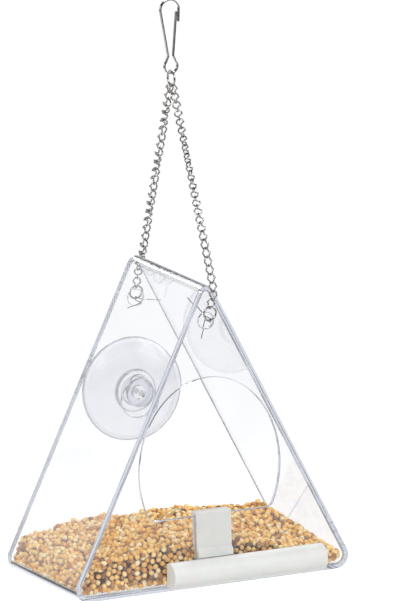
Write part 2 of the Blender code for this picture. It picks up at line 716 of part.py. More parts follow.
def main():
    clear_scene()
    acrylic = material("clear_acrylic", (0.93, 0.94, 0.97), 0.03, transmission=1.0)
    milky = material("milky_plastic", (0.82, 0.84, 0.8), 0.35, transmission=0.2)
    soft_clear = material("clear_soft_plastic", (0.86, 0.87, 0.92), 0.15, transmission=0.9)
    nickel = material("nickel_plate", (0.72, 0.71, 0.69), 0.2, metallic=1.0)
    steel = material("spring_steel", (0.78, 0.78, 0.78), 0.18, metallic=1.0)
    tie_wire = material("tie_wire", (0.4, 0.4, 0.42), 0.4, metallic=1.0)
    millet = material("millet_seed", (0.72, 0.5, 0.27), 0.6)

    across_x, across_y = Vector((1, 0, 0)), Vector((0, 1, 0))
    hang = add_axis("hang_point", Vector((-HOOK_X, -HOOK_Y, -HOOK_TOP_HEIGHT)))
    root = gate_root()
    gate_axis = add_axis("gate_axis", Vector((root.x, HOOK_Y, root.y)), hang)
    ring_axis = add_axis("ring_axis", Vector((HOOK_X, HOOK_Y, EYE_BOTTOM_HEIGHT)), hang)
    ring_foot = top_ring_centre() - Vector((0, 0, TOP_RING_RADIUS * math.cos(LEG_SPLAY)))
    sling_axis = add_axis("sling_axis", ring_foot, ring_axis)
    house_axis = add_axis("house_axis", front_ring_centre() - Vector((0, 0, PANEL_RING_RADIUS)), sling_axis)
    perch_axis = add_axis("perch_axis", Vector((CLIP_CENTRE, 0, LIP_HEIGHT)), house_axis)
    cup_axis = add_axis("cup_axis", Vector((0, HOUSE_DEPTH, CUP_HEIGHT)), house_axis)

    carry(make_snap_hook(), hang, steel)
    carry(make_hook_gate(), gate_axis, steel)
    carry(make_ring("top_ring", top_ring_centre(), TOP_RING_RADIUS, across_y), ring_axis, nickel)
    make_chains(sling_axis, nickel)
    carry(make_ring("front_ring", front_ring_centre(), PANEL_RING_RADIUS, across_x), sling_axis, nickel)
    carry(make_ring("back_ring", back_ring_centre(), PANEL_RING_RADIUS, across_x), sling_axis, nickel)

    carry(make_shell(), house_axis, acrylic)
    carry(make_front_panel(), house_axis, acrylic)
    carry(make_back_panel(), house_axis, acrylic)
    carry(make_seed_fill(make_clip_leg_cutter()), house_axis, millet)
    carry(make_front_tie(), house_axis, tie_wire)
    carry(make_back_tie(), house_axis, tie_wire)
    carry(make_perch_clip(), perch_axis, milky)
    carry(make_perch_bar(), perch_axis, milky)
    carry(make_suction_cup(), cup_axis, soft_clear)


main()
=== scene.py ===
"""Looks of a hanging bird feeder of clear acrylic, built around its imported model.

Metres, +Z up. House places, whose zero is the middle of the lower front edge of the house, are moved to
the frame by house_zero(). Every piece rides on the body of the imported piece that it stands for.
"""

import math

import bmesh
import bpy
import numpy as np
from mathutils import Matrix, Vector
from mathutils.bvhtree import BVHTree


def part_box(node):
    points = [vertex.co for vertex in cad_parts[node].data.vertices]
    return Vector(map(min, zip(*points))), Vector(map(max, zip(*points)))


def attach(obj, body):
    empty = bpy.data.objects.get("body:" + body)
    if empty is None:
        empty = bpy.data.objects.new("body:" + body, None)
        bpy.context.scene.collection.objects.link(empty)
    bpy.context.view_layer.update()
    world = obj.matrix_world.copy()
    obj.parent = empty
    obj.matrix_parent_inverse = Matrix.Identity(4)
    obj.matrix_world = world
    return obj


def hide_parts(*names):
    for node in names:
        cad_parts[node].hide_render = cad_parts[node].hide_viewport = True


bl_info = {
    "name": "Hanging Acrylic Feeder",
    "version": (1, 0, 0),
    "blender": (4, 5, 0),
    "location": "3D View > Sidebar > Feeder",
    "description": "Dresses the packed feeder with its sheets, chains, seeds and studio",
    "category": "Object",
}

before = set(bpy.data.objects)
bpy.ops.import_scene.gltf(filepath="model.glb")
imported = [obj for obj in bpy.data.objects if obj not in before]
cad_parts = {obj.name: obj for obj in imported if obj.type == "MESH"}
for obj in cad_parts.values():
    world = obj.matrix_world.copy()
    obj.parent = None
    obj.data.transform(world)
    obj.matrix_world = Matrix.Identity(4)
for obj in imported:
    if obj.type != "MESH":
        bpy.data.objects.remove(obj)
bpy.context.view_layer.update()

# Picture's height in pixels, and what one of them spans at the feeder
PICTURE_HEIGHT = 601
PICTURE_PIXEL = 0.000623
CAMERA_TARGET = Vector((0.01271, -0.00739, -0.19116))
CAMERA_RIGHT = Vector((0.90248, -0.43001, -0.02501)).normalized()
CAMERA_FORWARD = Vector((0.41454, 0.88286, -0.22073)).normalized()
LAMP_TARGET = Vector((0, 0, -0.25))

WELD = 1e-6
# Edges that turn by more than this stay sharp, or are a plate's rims, which are eased
SHARP_ANGLE = math.radians(14)
CUP_SHARP_ANGLE = math.radians(35)
WIRE_SHARP_ANGLE = math.radians(50)
RIM_ANGLE = 1.2
CUP_STEPS = 96
LINK_SIDES, LINK_STEPS = 10, 9
RING_SIDES, RING_STEPS = 14, 56
STALK_SIDES, STALK_STEPS = 7, 8

FLOOR_RADIUS = 6
# What the sheets and metals mirror of the studio
PALE_ROOM = (0.96, 0.975, 1.0)
DIM_ROOM = 0.05
DARK_ROOM = 0.06
LOST_LIGHT = (0.80, 0.82, 0.88)
# Turns inside a sheet after which the sheet shows its painted glow
SHEET_TURNS = 16
# What the clear pieces let through of the light that falls on what lies behind them
SHEET_PASSES = (0.97, 0.975, 0.98)
CUP_PASSES = (0.93, 0.93, 0.95)
HAIR_STRETCH = (1.0, 0.03, 0.03)
# Painted shade in rings on the cup, at its moulded edges at its nub, hub, head and rim, as (share of its
# radius, level)
CUP_EDGE_SHADE = (
    (0, 0.3), (0.045, 0.3), (0.07, 1), (0.255, 1), (0.27, 0.5), (0.285, 0.5), (0.3, 1), (0.385, 1),
    (0.397, 0.42), (0.41, 0.42), (0.425, 1), (0.968, 1), (0.98, 0.45), (1, 0.45),
)
# Stalks on the heap: across, along, heading in degrees, length and rise
STALKS = (
    (-0.0115, 0.052, 8, 0.0115, 0.0075), (-0.0095, 0.0535, 20, 0.0085, 0.0066),
    (-0.043, 0.060, 70, 0.009, 0.0008), (0.034, 0.047, -35, 0.008, 0.001),
    (-0.063, 0.034, -20, 0.007, 0.0004), (0.012, 0.078, 15, 0.010, 0.0012),
)


def house_zero():
    """The middle of the lower front edge of the house, in the frame."""
    low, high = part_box("folded_shell")
    return Vector(((low.x + high.x) / 2, low.y, low.z))


def house_box(node):
    """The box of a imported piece, in house places."""
    return [corner - house_zero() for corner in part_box(node)]


# Settings

def level_property(name, description, default, unit="NONE"):
    return bpy.props.FloatProperty(name=name, description=description, default=default, min=0, unit=unit)


def size_property(name, description, default):
    return level_property(name, description, default, "LENGTH")


def count_property(name, description, default):
    return bpy.props.IntProperty(name=name, description=description, default=default, min=0)


def colour_property(name, description, default):
    return bpy.props.FloatVectorProperty(
        name=name, description=description, default=default, min=0, max=1, size=3, subtype="COLOR"
    )


class HouseSettings(bpy.types.PropertyGroup):
    width: size_property("Width", "Across the floor, between the sharp corners", 0.198)
    height: size_property("Height", "From the floor to the sharp ridge", 0.1986)
    depth: size_property("Depth", "From the front to the back panel's outer face", 0.102)
    sheet: size_property("Sheet", "Thickness of the acrylic", 0.003)
    floor_radius: size_property("Floor corner radius", "Outer radius of the bends beside the floor", 0.0085)
    ridge_radius: size_property("Ridge radius", "Outer radius of the bend at the ridge", 0.006)
    eased_edge: size_property("Eased edge", "Width of the polished edges", 0.00025)
    bond_gap: size_property("Bond gap", "Between a panel's rim and the bent sheet", 0.00006)
    opening_drop: size_property("Opening drop", "From the sharp ridge to the opening's top", 0.0658)
    opening_margin: size_property("Opening margin", "Between the oval and the roof", 0.00486)
    lip_height: size_property("Lip height", "Height of the opening's flat lower edge", 0.0456)
    lip_radius: size_property("Lip corner radius", "At the lip's two ends", 0.004)
    tie_hole_radius: size_property("Tie hole radius", "Of the drilled holes for the wire ties", 0.0052)
    front_hole_drop: size_property("Front hole drop", "Below the sharp ridge", 0.0296)
    back_hole_drop: size_property("Back hole drop", "Below the sharp ridge", 0.0346)
    keyhole_radius: size_property("Keyhole radius", "Of the keyhole's round end", 0.0115)
    keyhole_height: size_property("Keyhole height", "Of the round end's centre", 0.0985)
    slot_half_width: size_property("Slot half width", "Of the keyhole's upper slot", 0.00485)
    tint: colour_property("Tint", "Colour that the acrylic lets through", (0.985, 0.988, 0.995))
    depth_colour: colour_property("Depth colour", "Of long ways through a sheet", (0.56, 0.62, 0.74))
    # Painted glow: an even emitted colour that a sheet shows in place of light that has turned many times
    # inside it
    glow: colour_property("Glow", "Of light that has turned many times inside a sheet", (0.76, 0.78, 0.84))
    # Painted shade: the eased edges are painted this dark grey, up to 2.3 times lighter in places, for the
    # dark lines along the sheets' edges
    edge_shade_colour: colour_property("Edge colour", "Of the darkest eased edges", (0.27, 0.28, 0.31))
    absorption: level_property("Absorption", "How soon light is lost inside a sheet, per metre", 3.0)


class SeedSettings(bpy.types.PropertyGroup):
    spacing: size_property("Spacing", "Least way between two grains of the heap's skin", 0.003)
    half_length: size_property("Half length", "Of a grain", 0.00186)
    half_width: size_property("Half width", "Of a grain", 0.00172)
    half_thickness: size_property("Half thickness", "Of a grain", 0.00162)
    layer_drop: size_property("Layer drop", "From the first layer of grains to the second", 0.0022)
    core_inset: size_property("Core inset", "From the skin to the dark inside", 0.0034)
    pale: colour_property("Pale grain", "Lightest common colour", (1.0, 0.68, 0.24))
    golden: colour_property("Golden grain", "Commonest colour", (0.87, 0.44, 0.065))
    rusty: colour_property("Rusty grain", "Reddish grains", (0.50, 0.18, 0.03))
    dark: colour_property("Dark grain", "Few dark grains", (0.10, 0.05, 0.022))
    palest: colour_property("Palest grain", "Few bleached grains", (0.98, 0.83, 0.52))
    # Colour a grain is multiplied by: at its tip it darkens the grain's own skin, and on grains deep in the
    # heap it is painted shade
    shade: colour_property("Shade", "What a tip or a buried grain is multiplied by", (0.36, 0.215, 0.10))
    # Painted shade: the heap's inside is painted this dark colour, which shows between the grains
    core: colour_property("Core", "Of the heap's dim inside", (0.11, 0.05, 0.018))
    straw: colour_property("Straw", "Of the stalks among the grains", (0.68, 0.52, 0.30))
    stalk_radius: size_property("Stalk radius", "Of the stalks", 0.00042)
    tries: count_property("Tries", "Places tried for the grains", 90000)
    lot: count_property("Lot", "Most grains in one piece", 3800)
    random_seed: count_property("Random seed", "Start of the random draws", 11)


class PerchSettings(bpy.types.PropertyGroup):
    rod_radius: size_property("Rod radius", "Of the perch rod", 0.0084)
    rod_flat: size_property("Rod flat", "From the rod's axis to its planed back", 0.0049)
    rod_edge: size_property("Rod edge", "Rounding at the rod's ends", 0.0007)
    clip_edge: size_property("Clip edge", "Rounding of the clip's edges", 0.00035)
    rod_colour: colour_property("Rod colour", "Of the rod's milky plastic", (0.735, 0.748, 0.728))
    clip_colour: colour_property("Clip colour", "Of the clip's milky plastic", (0.655, 0.66, 0.638))


class CupSettings(bpy.types.PropertyGroup):
    radius: size_property("Radius", "Of the cup's rim", 0.033)
    colour: colour_property("Colour", "That the soft plastic lets through", (0.85, 0.855, 0.90))


class HookSettings(bpy.types.PropertyGroup):
    strip_width: size_property("Strip width", "Of the spring strip", 0.002)
    strip_thickness: size_property("Strip thickness", "Of the spring strip", 0.0009)
    strip_edge: size_property("Strip edge", "Rounding along the strip", 0.00016)
    colour: colour_property("Colour", "Of the spring steel", (0.66, 0.66, 0.65))


class ChainSettings(bpy.types.PropertyGroup):
    link_wire: size_property("Link wire radius", "Of the chain's wire", 0.0005)
    link_half_width: size_property("Link half width", "At the wire's middle", 0.00228)
    front_links: count_property("Front links", "Links of the front chain", 26)
    back_links: count_property("Back links", "Links of the back chain", 28)
    ring_wire: size_property("Ring wire radius", "Of the rings' wire", 0.0006)
    colour: colour_property("Colour", "Of the nickel plate", (0.47, 0.455, 0.435))
    tie_colour: colour_property("Tie colour", "Of the wire ties", (0.22, 0.22, 0.23))


class StageSettings(bpy.types.PropertyGroup):
    distance: size_property("Distance", "From the camera to the feeder", 11.0)
    floor_drop: size_property("Floor drop", "From the house down to the floor", 0.09)
    world_level: level_property("World level", "Soft light from all round", 0.62)
    key_power: level_property("Key power", "Of the large lamp", 22.0, "POWER")


# Nodes and materials

def give(node, values):
    """Fills a node's inputs: a socket is linked to its input, and anything else is set on it."""
    for name, value in values.items():
        if isinstance(value, bpy.types.NodeSocket):
            node.id_data.links.new(value, node.inputs[name])
        else:
            node.inputs[name].default_value = value


def add_node(tree, kind, values=None, **settings):
    """A shader node with these settings, and with these values on its inputs."""
    made = tree.nodes.new(kind)
    for name, value in settings.items():
        setattr(made, name, value)
    give(made, values or {})
    return made


def maths(tree, operation, *values):
    """What a Math node makes of these values."""
    return add_node(tree, "ShaderNodeMath", dict(enumerate(values)), operation=operation).outputs[0]


def vector_maths(tree, operation, *values):
    """What a Vector Math node makes of these values: a number where it measures a length."""
    made = add_node(tree, "ShaderNodeVectorMath", dict(enumerate(values)), operation=operation)
    return made.outputs["Value" if operation in ("LENGTH", "DISTANCE") else "Vector"]


def axes(tree, vector):
    """A vector's X, Y and Z."""
    return add_node(tree, "ShaderNodeSeparateXYZ", {0: vector}).outputs


def places(tree):
    """Where a point lies on its own object."""
    return tree.nodes.new("ShaderNodeTexCoord").outputs["Object"]


def ranged(tree, value, low, high, to_low=0, to_high=1):
    """A value taken from one range to another, and kept inside it."""
    values = dict(enumerate((value, low, high, to_low, to_high)))
    return add_node(tree, "ShaderNodeMapRange", values).outputs[0]


def full(colour):
    """A colour, or a level of grey, with its alpha."""
    return (*colour, 1) if hasattr(colour, "__len__") else (colour, colour, colour, 1)


def scaled(colour, share):
    return tuple(channel * share for channel in colour)


def ramp(tree, value, *stops):
    """A colour ramp of (place, colour) stops."""
    made = add_node(tree, "ShaderNodeValToRGB", {0: value})
    stop_list = made.color_ramp.elements
    while len(stop_list) < len(stops):
        stop_list.new(1)
    for stop, (place, colour) in zip(stop_list, stops):
        stop.position = place
        stop.color = full(colour)
    return made.outputs[0]


def blended(tree, share, first, second, kind="MIX"):
    """A colour between two, or their product. Each is a socket, a colour or a level of grey."""
    values = {0: share}
    for index, given in ((6, first), (7, second)):
        values[index] = given if isinstance(given, bpy.types.NodeSocket) else full(given)
    return add_node(tree, "ShaderNodeMix", values, data_type="RGBA", blend_type=kind).outputs[2]


def mixed(tree, share, first, second):
    """A shader between two."""
    return add_node(tree, "ShaderNodeMixShader", {0: share, 1: first, 2: second}).outputs[0]


def noise(tree, place, scale, detail, roughness=0.5):
    values = {"Vector": place, "Scale": scale, "Detail": detail, "Roughness": roughness}
    return add_node(tree, "ShaderNodeTexNoise", values).outputs[0]


def group(name, inputs, outputs):
    """An empty shader group with these numbers in and out, and its input and output nodes."""
    made = bpy.data.node_groups.new(name, "ShaderNodeTree")
    for socket, default in inputs:
        placed = made.interface.new_socket(name=socket, in_out="INPUT", socket_type="NodeSocketFloat")
        placed.default_value = default
    for socket in outputs:
        made.interface.new_socket(name=socket, in_out="OUTPUT", socket_type="NodeSocketFloat")
    return made, made.nodes.new("NodeGroupInput"), made.nodes.new("NodeGroupOutput")


def handling_marks():
    """Smudges, hair scratches and their height, shared by the sheets, plastics and metals."""
    found = bpy.data.node_groups.get("handling_marks")
    if found:
        return found
    inputs = (("Smudge Scale", 40.0), ("Scratch Scale", 900.0))
    tree, given, result = group("handling_marks", inputs, ("Smudge", "Scratch", "Height"))
    place = places(tree)
    smudge = noise(tree, place, given.outputs["Smudge Scale"], 4.0, 0.55)
    scratch = 0.0
    for turn in (0.4, 1.35, 2.3):
        turned_place = add_node(tree, "ShaderNodeMapping", {
            "Vector": place, "Rotation": (turn, turn * 1.7, turn * 0.6), "Scale": HAIR_STRETCH,
        }).outputs[0]
        hair = noise(tree, turned_place, given.outputs["Scratch Scale"], 1.0)
        scratch = maths(tree, "MAXIMUM", scratch, ranged(tree, hair, 0.69, 0.74))
    give(result, {"Smudge": ranged(tree, smudge, 0.35, 0.7), "Scratch": scratch})
    give(result, {"Height": maths(tree, "SUBTRACT", 1.0, scratch)})
    return tree


def fine_grain():
    """Small uneven skin of moulded, drawn or plated pieces, as a mask and a height."""
    found = bpy.data.node_groups.get("fine_grain")
    if found:
        return found
    tree, given, result = group("fine_grain", (("Scale", 2500.0), ("Flow", 1.0)), ("Mask", "Height"))
    across, along, up = axes(tree, places(tree))
    drawn = maths(tree, "MULTIPLY", across, given.outputs["Flow"])
    place = add_node(tree, "ShaderNodeCombineXYZ", {"X": drawn, "Y": along, "Z": up}).outputs[0]
    grain = noise(tree, place, given.outputs["Scale"], 3.0, 0.6)
    give(result, {"Mask": ranged(tree, grain, 0.3, 0.7), "Height": grain})
    return tree


def spread(tree, shared, **values):
    """Puts a shared effect in a material, with its own values, and returns what it puts out."""
    values = {name.replace("_", " "): value for name, value in values.items()}
    return add_node(tree, "ShaderNodeGroup", values, node_tree=shared).outputs


def new_material(name, **values):
    """A material with one Principled shader, whose constant inputs are set."""
    made = bpy.data.materials.new(name)
    made.use_nodes = True
    shader = made.node_tree.nodes["Principled BSDF"]
    give(shader, {key.replace("_", " "): value for key, value in values.items()})
    return made, made.node_tree, shader


def cover(tree, shader, colour, rough, height, depth, strength=1.0):
    """Gives a shader its colour, its roughness and its relief."""
    relief = add_node(tree, "ShaderNodeBump", {"Strength": strength, "Distance": depth, "Height": height})
    give(shader, {"Base Color": colour, "Roughness": rough, "Normal": relief.outputs[0]})


def let_light_through(tree, shader, colour):
    """The shader, but lamp and bounced light pass the clear piece to what lies inside it."""
    path = tree.nodes.new("ShaderNodeLightPath").outputs
    clear = add_node(tree, "ShaderNodeBsdfTransparent", {"Color": full(colour)}).outputs[0]
    passes = maths(tree, "MAXIMUM", path["Is Shadow Ray"], path["Is Diffuse Ray"])
    return mixed(tree, passes, shader.outputs[0], clear)


def scratched(tree, marks, smooth, worn, depth):
    """Roughness from smooth to worn by the smudges, and rougher by depth where a scratch runs."""
    rough = ranged(tree, marks["Smudge"], 0, 1, smooth, worn)
    return maths(tree, "ADD", rough, maths(tree, "MULTIPLY", marks["Scratch"], depth))


def acrylic_material(house):
    made, tree, shader = new_material("clear_acrylic_sheet", Transmission_Weight=1.0, IOR=1.49)
    marks = spread(tree, handling_marks(), Smudge_Scale=35.0, Scratch_Scale=700.0)
    colour = ramp(tree, marks["Smudge"], (0, house.tint), (1, scaled(house.tint, 0.99)))
    cover(tree, shader, colour, scratched(tree, marks, 0.003, 0.016, 0.03), marks["Height"], 0.0000004)
    absorb = add_node(tree, "ShaderNodeVolumeAbsorption", {
        "Color": full(house.depth_colour), "Density": house.absorption,
    })
    # Painted glow: where light has turned this often inside a sheet, the sheet gives off an even emitted
    # colour in its place
    depth = tree.nodes.new("ShaderNodeLightPath").outputs["Ray Depth"]
    glow = add_node(tree, "ShaderNodeEmission", {"Color": full(house.glow)}).outputs[0]
    clear = let_light_through(tree, shader, SHEET_PASSES)
    lit = mixed(tree, maths(tree, "GREATER_THAN", depth, SHEET_TURNS), clear, glow)
    give(tree.nodes["Material Output"], {"Surface": lit, "Volume": absorb.outputs[0]})
    return made


def edge_shade_material(colour):
    """The narrow eased edges of the cut sheet, given painted shade: dark grey in place of the dark lines
    that a clear sheet's edges show, lighter and darker along them by the smudge mask.
    """
    made, tree, shader = new_material("acrylic_edge_shade")
    marks = spread(tree, handling_marks(), Smudge_Scale=45.0, Scratch_Scale=1500.0)
    cover(tree, shader, ramp(tree, marks["Smudge"], (0.2, colour), (0.9, scaled(colour, 2.3))),
          ranged(tree, marks["Scratch"], 0, 1, 0.3, 0.5), marks["Height"], 0.00002)
    return made


def cup_material(cup, centre):
    """Soft clear plastic, with painted shade in rings along its moulded edges."""
    made, tree, shader = new_material("soft_clear_plastic", Transmission_Weight=1.0, IOR=1.52)
    flat = vector_maths(tree, "MULTIPLY", places(tree), (1, 0, 1))
    reach = vector_maths(tree, "DISTANCE", flat, (centre.x, 0, centre.z))
    # Painted shade: the cup's colour is multiplied darker at the radii of its moulded edges
    edges = ramp(tree, maths(tree, "DIVIDE", reach, cup.radius), *CUP_EDGE_SHADE)
    grain = spread(tree, fine_grain(), Scale=900.0)
    marks = spread(tree, handling_marks(), Smudge_Scale=120.0)
    cloudy = ramp(tree, grain["Mask"], (0, scaled(cup.colour, 0.93)), (1, cup.colour))
    cover(tree, shader, blended(tree, 1.0, cloudy, edges, "MULTIPLY"),
          ranged(tree, marks["Smudge"], 0, 1, 0.1, 0.2), grain["Height"], 0.00003, 0.4)
    give(tree.nodes["Material Output"], {"Surface": let_light_through(tree, shader, CUP_PASSES)})
    return made


def milky_material(name, colour):
    made, tree, shader = new_material(name, Subsurface_Weight=0.3, Subsurface_Scale=0.004, IOR=1.49)
    grain = spread(tree, fine_grain(), Scale=1800.0, Flow=0.06)
    marks = spread(tree, handling_marks(), Smudge_Scale=60.0)
    cover(tree, shader, ramp(tree, marks["Smudge"], (0, colour), (1, scaled(colour, 0.93))),
          ranged(tree, grain["Mask"], 0, 1, 0.26, 0.4), grain["Height"], 0.00005, 0.6)
    return made


def metal_material(name, colour, shiny, worn):
    made, tree, shader = new_material(name, Metallic=1.0)
    grain = spread(tree, fine_grain(), Scale=2600.0)
    marks = spread(tree, handling_marks(), Smudge_Scale=260.0, Scratch_Scale=2400.0)
    cover(tree, shader, ramp(tree, marks["Smudge"], (0, colour), (1, scaled(colour, 0.72))),
          scratched(tree, marks, shiny, worn, 0.08), grain["Height"], 0.00002, 0.25)
    return made


def grain_material(seeds):
    """Millet skin, by the tone, the tip and the depth in the heap that each grain's points hold. The tip's
    darker spot is the grain's own colour, and the darkening by depth is painted shade.
    """
    made, tree, shader = new_material(
        "millet_grain", Subsurface_Weight=0.03, Subsurface_Scale=0.001, Specular_IOR_Level=0.75,
    )
    tone, tip, buried = (add_node(tree, "ShaderNodeAttribute", attribute_name=name).outputs["Fac"]
                         for name in ("tone", "tip", "buried"))
    skin = ramp(tree, tone, (0, seeds.dark), (0.05, seeds.rusty), (0.16, seeds.golden), (0.78, seeds.pale),
                (1, seeds.palest))
    tipped = maths(tree, "MULTIPLY", ranged(tree, tip, 0.62, 1), 0.55)
    grain = spread(tree, fine_grain(), Scale=1500.0)
    # Painted shade on grains deep in the heap, and the darker tip of each grain's own skin
    cover(tree, shader, blended(tree, maths(tree, "MAXIMUM", tipped, buried), skin, seeds.shade, "MULTIPLY"),
          ranged(tree, grain["Mask"], 0, 1, 0.18, 0.34), grain["Height"], 0.0001, 0.5)
    return made


def straw_material(colour):
    made, tree, shader = new_material("straw_stalk")
    grain = spread(tree, fine_grain(), Scale=1400.0, Flow=0.2)
    cover(tree, shader, ramp(tree, grain["Mask"], (0, scaled(colour, 0.62)), (1, colour)),
          ranged(tree, grain["Mask"], 0, 1, 0.4, 0.6), grain["Height"], 0.0001)
    return made


def shade_material(colour):
    """The inside of the heap, painted dark as painted shade that shows between the grains."""
    made, tree, shader = new_material("millet_shade")
    grain = spread(tree, fine_grain(), Scale=700.0)
    cover(tree, shader, ramp(tree, grain["Mask"], (0, scaled(colour, 0.4)), (1, colour)), 0.9,
          grain["Height"], 0.0006)
    return made


# Shapes

def rounded(corners, radii, steps):
    """A polygon's points, counter-clockwise, with each corner that has a radius turned into an arc."""
    points = []
    for index, corner in enumerate(corners):
        if not radii[index]:
            points.append(corner)
            continue
        before = (corners[index - 1] - corner).normalized()
        after = (corners[(index + 1) % len(corners)] - corner).normalized()
        half = before.angle(after) / 2
        centre = corner + (before + after).normalized() * radii[index] / math.sin(half)
        start = corner + before * radii[index] / math.tan(half) - centre
        for step in range(steps + 1):
            turn = Matrix.Rotation((math.pi - 2 * half) * step / steps, 2)
            points.append(centre + turn @ start)
    return points


def arc(centre, radius, first, last, steps):
    """Points on a circle from the first angle to the last."""
    angles = [first + (last - first) * step / steps for step in range(steps + 1)]
    return [Vector(centre) + radius * Vector((math.cos(angle), math.sin(angle))) for angle in angles]


def add_object(name, data):
    """An object with this data, in the scene."""
    obj = bpy.data.objects.new(name, data)
    bpy.context.scene.collection.objects.link(obj)
    return obj


def piece_from(name, shape, material, sharp=SHARP_ANGLE):
    """An object from a bmesh, smooth except at its sharp edges, with flat faces kept flat."""
    bmesh.ops.remove_doubles(shape, verts=shape.verts, dist=WELD)
    bmesh.ops.recalc_face_normals(shape, faces=shape.faces)
    mesh = bpy.data.meshes.new(name)
    shape.to_mesh(mesh)
    shape.free()
    mesh.shade_smooth()
    mesh.set_sharp_from_angle(angle=sharp)
    mesh.materials.append(material)
    obj = add_object(name, mesh)
    weighted = obj.modifiers.new("flat_faces", "WEIGHTED_NORMAL")
    weighted.keep_sharp = True
    weighted.weight = 100
    return obj


def plate(name, outlines, low, high, edge, material, along="Y", edge_shade_look=None):
    """A flat piece with an outline and its holes, from low to high along X or Y, with eased edges. Where a
    second material is given, the eased edges take it as painted shade.
    """
    shape = bmesh.new()
    for outline in outlines:
        verts = [shape.verts.new((low, across, up) if along == "X" else (across, low, up))
                 for across, up in outline]
        for pair in zip(verts, verts[1:] + verts[:1]):
            shape.edges.new(pair)
    bmesh.ops.triangle_fill(shape, edges=shape.edges[:], use_beauty=True)
    grown = bmesh.ops.extrude_face_region(shape, geom=shape.faces[:])["geom"]
    moved = [item for item in grown if isinstance(item, bmesh.types.BMVert)]
    travel = (high - low, 0, 0) if along == "X" else (0, high - low, 0)
    bmesh.ops.translate(shape, verts=moved, vec=travel)
    bmesh.ops.recalc_face_normals(shape, faces=shape.faces)
    if edge:
        rims = [item for item in shape.edges if item.calc_face_angle(0) > RIM_ANGLE]
        bmesh.ops.bevel(shape, geom=rims, offset=edge, segments=2, profile=0.5, affect="EDGES",
                        material=1 if edge_shade_look else -1)
    obj = piece_from(name, shape, material)
    if edge_shade_look:
        obj.data.materials.append(edge_shade_look)
    return obj


def tube(name, routes, radius, sides, material, closed=False):
    """Round wires along the routes, as one piece. Each route is a list of points."""
    shape = bmesh.new()
    for route in routes:
        add_tube(shape, route, radius, sides, closed)
    return piece_from(name, shape, material, WIRE_SHARP_ANGLE)


def add_tube(shape, route, radius, sides, closed):
    """Adds a wire to a shape. In a closed one, the turn left over at its end is shared out along it."""
    count = len(route)
    first, last = (route[-1], route[0]) if closed else (route[0], route[-1])
    neighbours = zip([first] + route[:-1], route[1:] + [last])
    ways = [(ahead - behind).normalized() for behind, ahead in neighbours]
    side = ways[0].orthogonal().normalized()
    sides_along = []
    for way in ways:
        side = (side - way * side.dot(way)).normalized()
        sides_along.append(side.copy())
    twist = 0.0
    if closed:
        last = (sides_along[-1] - ways[0] * sides_along[-1].dot(ways[0])).normalized()
        twist = math.atan2(sides_along[0].cross(last).dot(ways[0]), sides_along[0].dot(last))
    rings = []
    for index, (point, way, side) in enumerate(zip(route, ways, sides_along)):
        up = way.cross(side)
        angles = [math.tau * step / sides - twist * index / count for step in range(sides)]
        rings.append([shape.verts.new(point + radius * (math.cos(angle) * side + math.sin(angle) * up))
                      for angle in angles])
    for near, far in zip(rings, rings[1:] + rings[:1] if closed else rings[1:]):
        for step in range(sides):
            after = (step + 1) % sides
            shape.faces.new((near[step], near[after], far[after], far[step]))
    if not closed:
        shape.faces.new(rings[0][::-1])
        shape.faces.new(rings[-1])


def seat(obj, body, slot, *nodes):
    """Moves a piece drawn in house places to the frame, hides what it stands for and lets it ride."""
    obj.data.transform(Matrix.Translation(house_zero()))
    hold(obj, body, slot, *nodes)


def hold(obj, body, slot, *nodes):
    """Lets a piece ride on a body, and hides what it stands for."""
    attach(obj, body)
    if nodes:
        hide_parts(*nodes)


# House

def house_corners(house, inset):
    """The triangle's sharp corners, this far inside the outer face."""
    left, right = Vector((-house.width / 2, 0)), Vector((house.width / 2, 0))
    apex = Vector((0, house.height))
    slope = (apex - right).length
    inradius = house.width * house.height / (house.width + 2 * slope)
    middle = Vector((0, inradius))
    return [middle + (corner - middle) * (1 - inset / inradius) for corner in (left, right, apex)]


def house_outline(house, inset, steps=18):
    radii = [radius - inset for radius in (house.floor_radius, house.floor_radius, house.ridge_radius)]
    return rounded(house_corners(house, inset), radii, steps)


def half_width_at(house, height):
    return house.width / 2 * (1 - height / house.height)


def opening_outline(house):
    """The oval above the lip, with rounded corners at the lip's ends."""
    # How far below the oval's middle the lip lies, in half heights
    lip_share = 0.5113
    top = house.height - house.opening_drop
    half_height = (top - house.lip_height) / (1 + lip_share)
    middle = top - half_height
    slope = math.hypot(house.width / 2, house.height)
    sideways, upward = house.height / slope, house.width / 2 / slope
    room = half_width_at(house, middle) * sideways - house.opening_margin
    half_width = math.sqrt(room ** 2 - (half_height * upward) ** 2) / sideways
    dip = math.asin(lip_share)
    circle = arc((0, 0), 1, -dip, math.pi + dip, 120)
    oval = [Vector((half_width * point.x, middle + half_height * point.y)) for point in circle]
    return opened(oval, house.lip_radius)


def opened(oval, radius):
    """The oval with its two lip corners rounded, which take the place of the points near them."""
    first, last = oval[0], oval[-1]
    room = radius * 1.1
    right = [point for point in oval if (point - first).length > room and point.x > 0]
    left = [point for point in oval if (point - last).length > room and point.x <= 0]
    corners = [first] + right + left + [last]
    radii = [radius] + [0] * (len(corners) - 2) + [radius]
    return rounded(corners, radii, 10)


def keyhole_outline(house):
    """Round below, with the slot's short straight sides and its round top above."""
    meet = math.acos(house.slot_half_width / house.keyhole_radius)
    below = arc((0, house.keyhole_height), house.keyhole_radius, math.pi - meet, math.tau + meet, 60)
    straight = 0.00062
    return below + arc((0, below[-1].y + straight), house.slot_half_width, 0, math.pi, 24)


def tie_hole(house, drop):
    return arc((0, house.height - drop), house.tie_hole_radius, 0, math.tau, 48)[:-1]


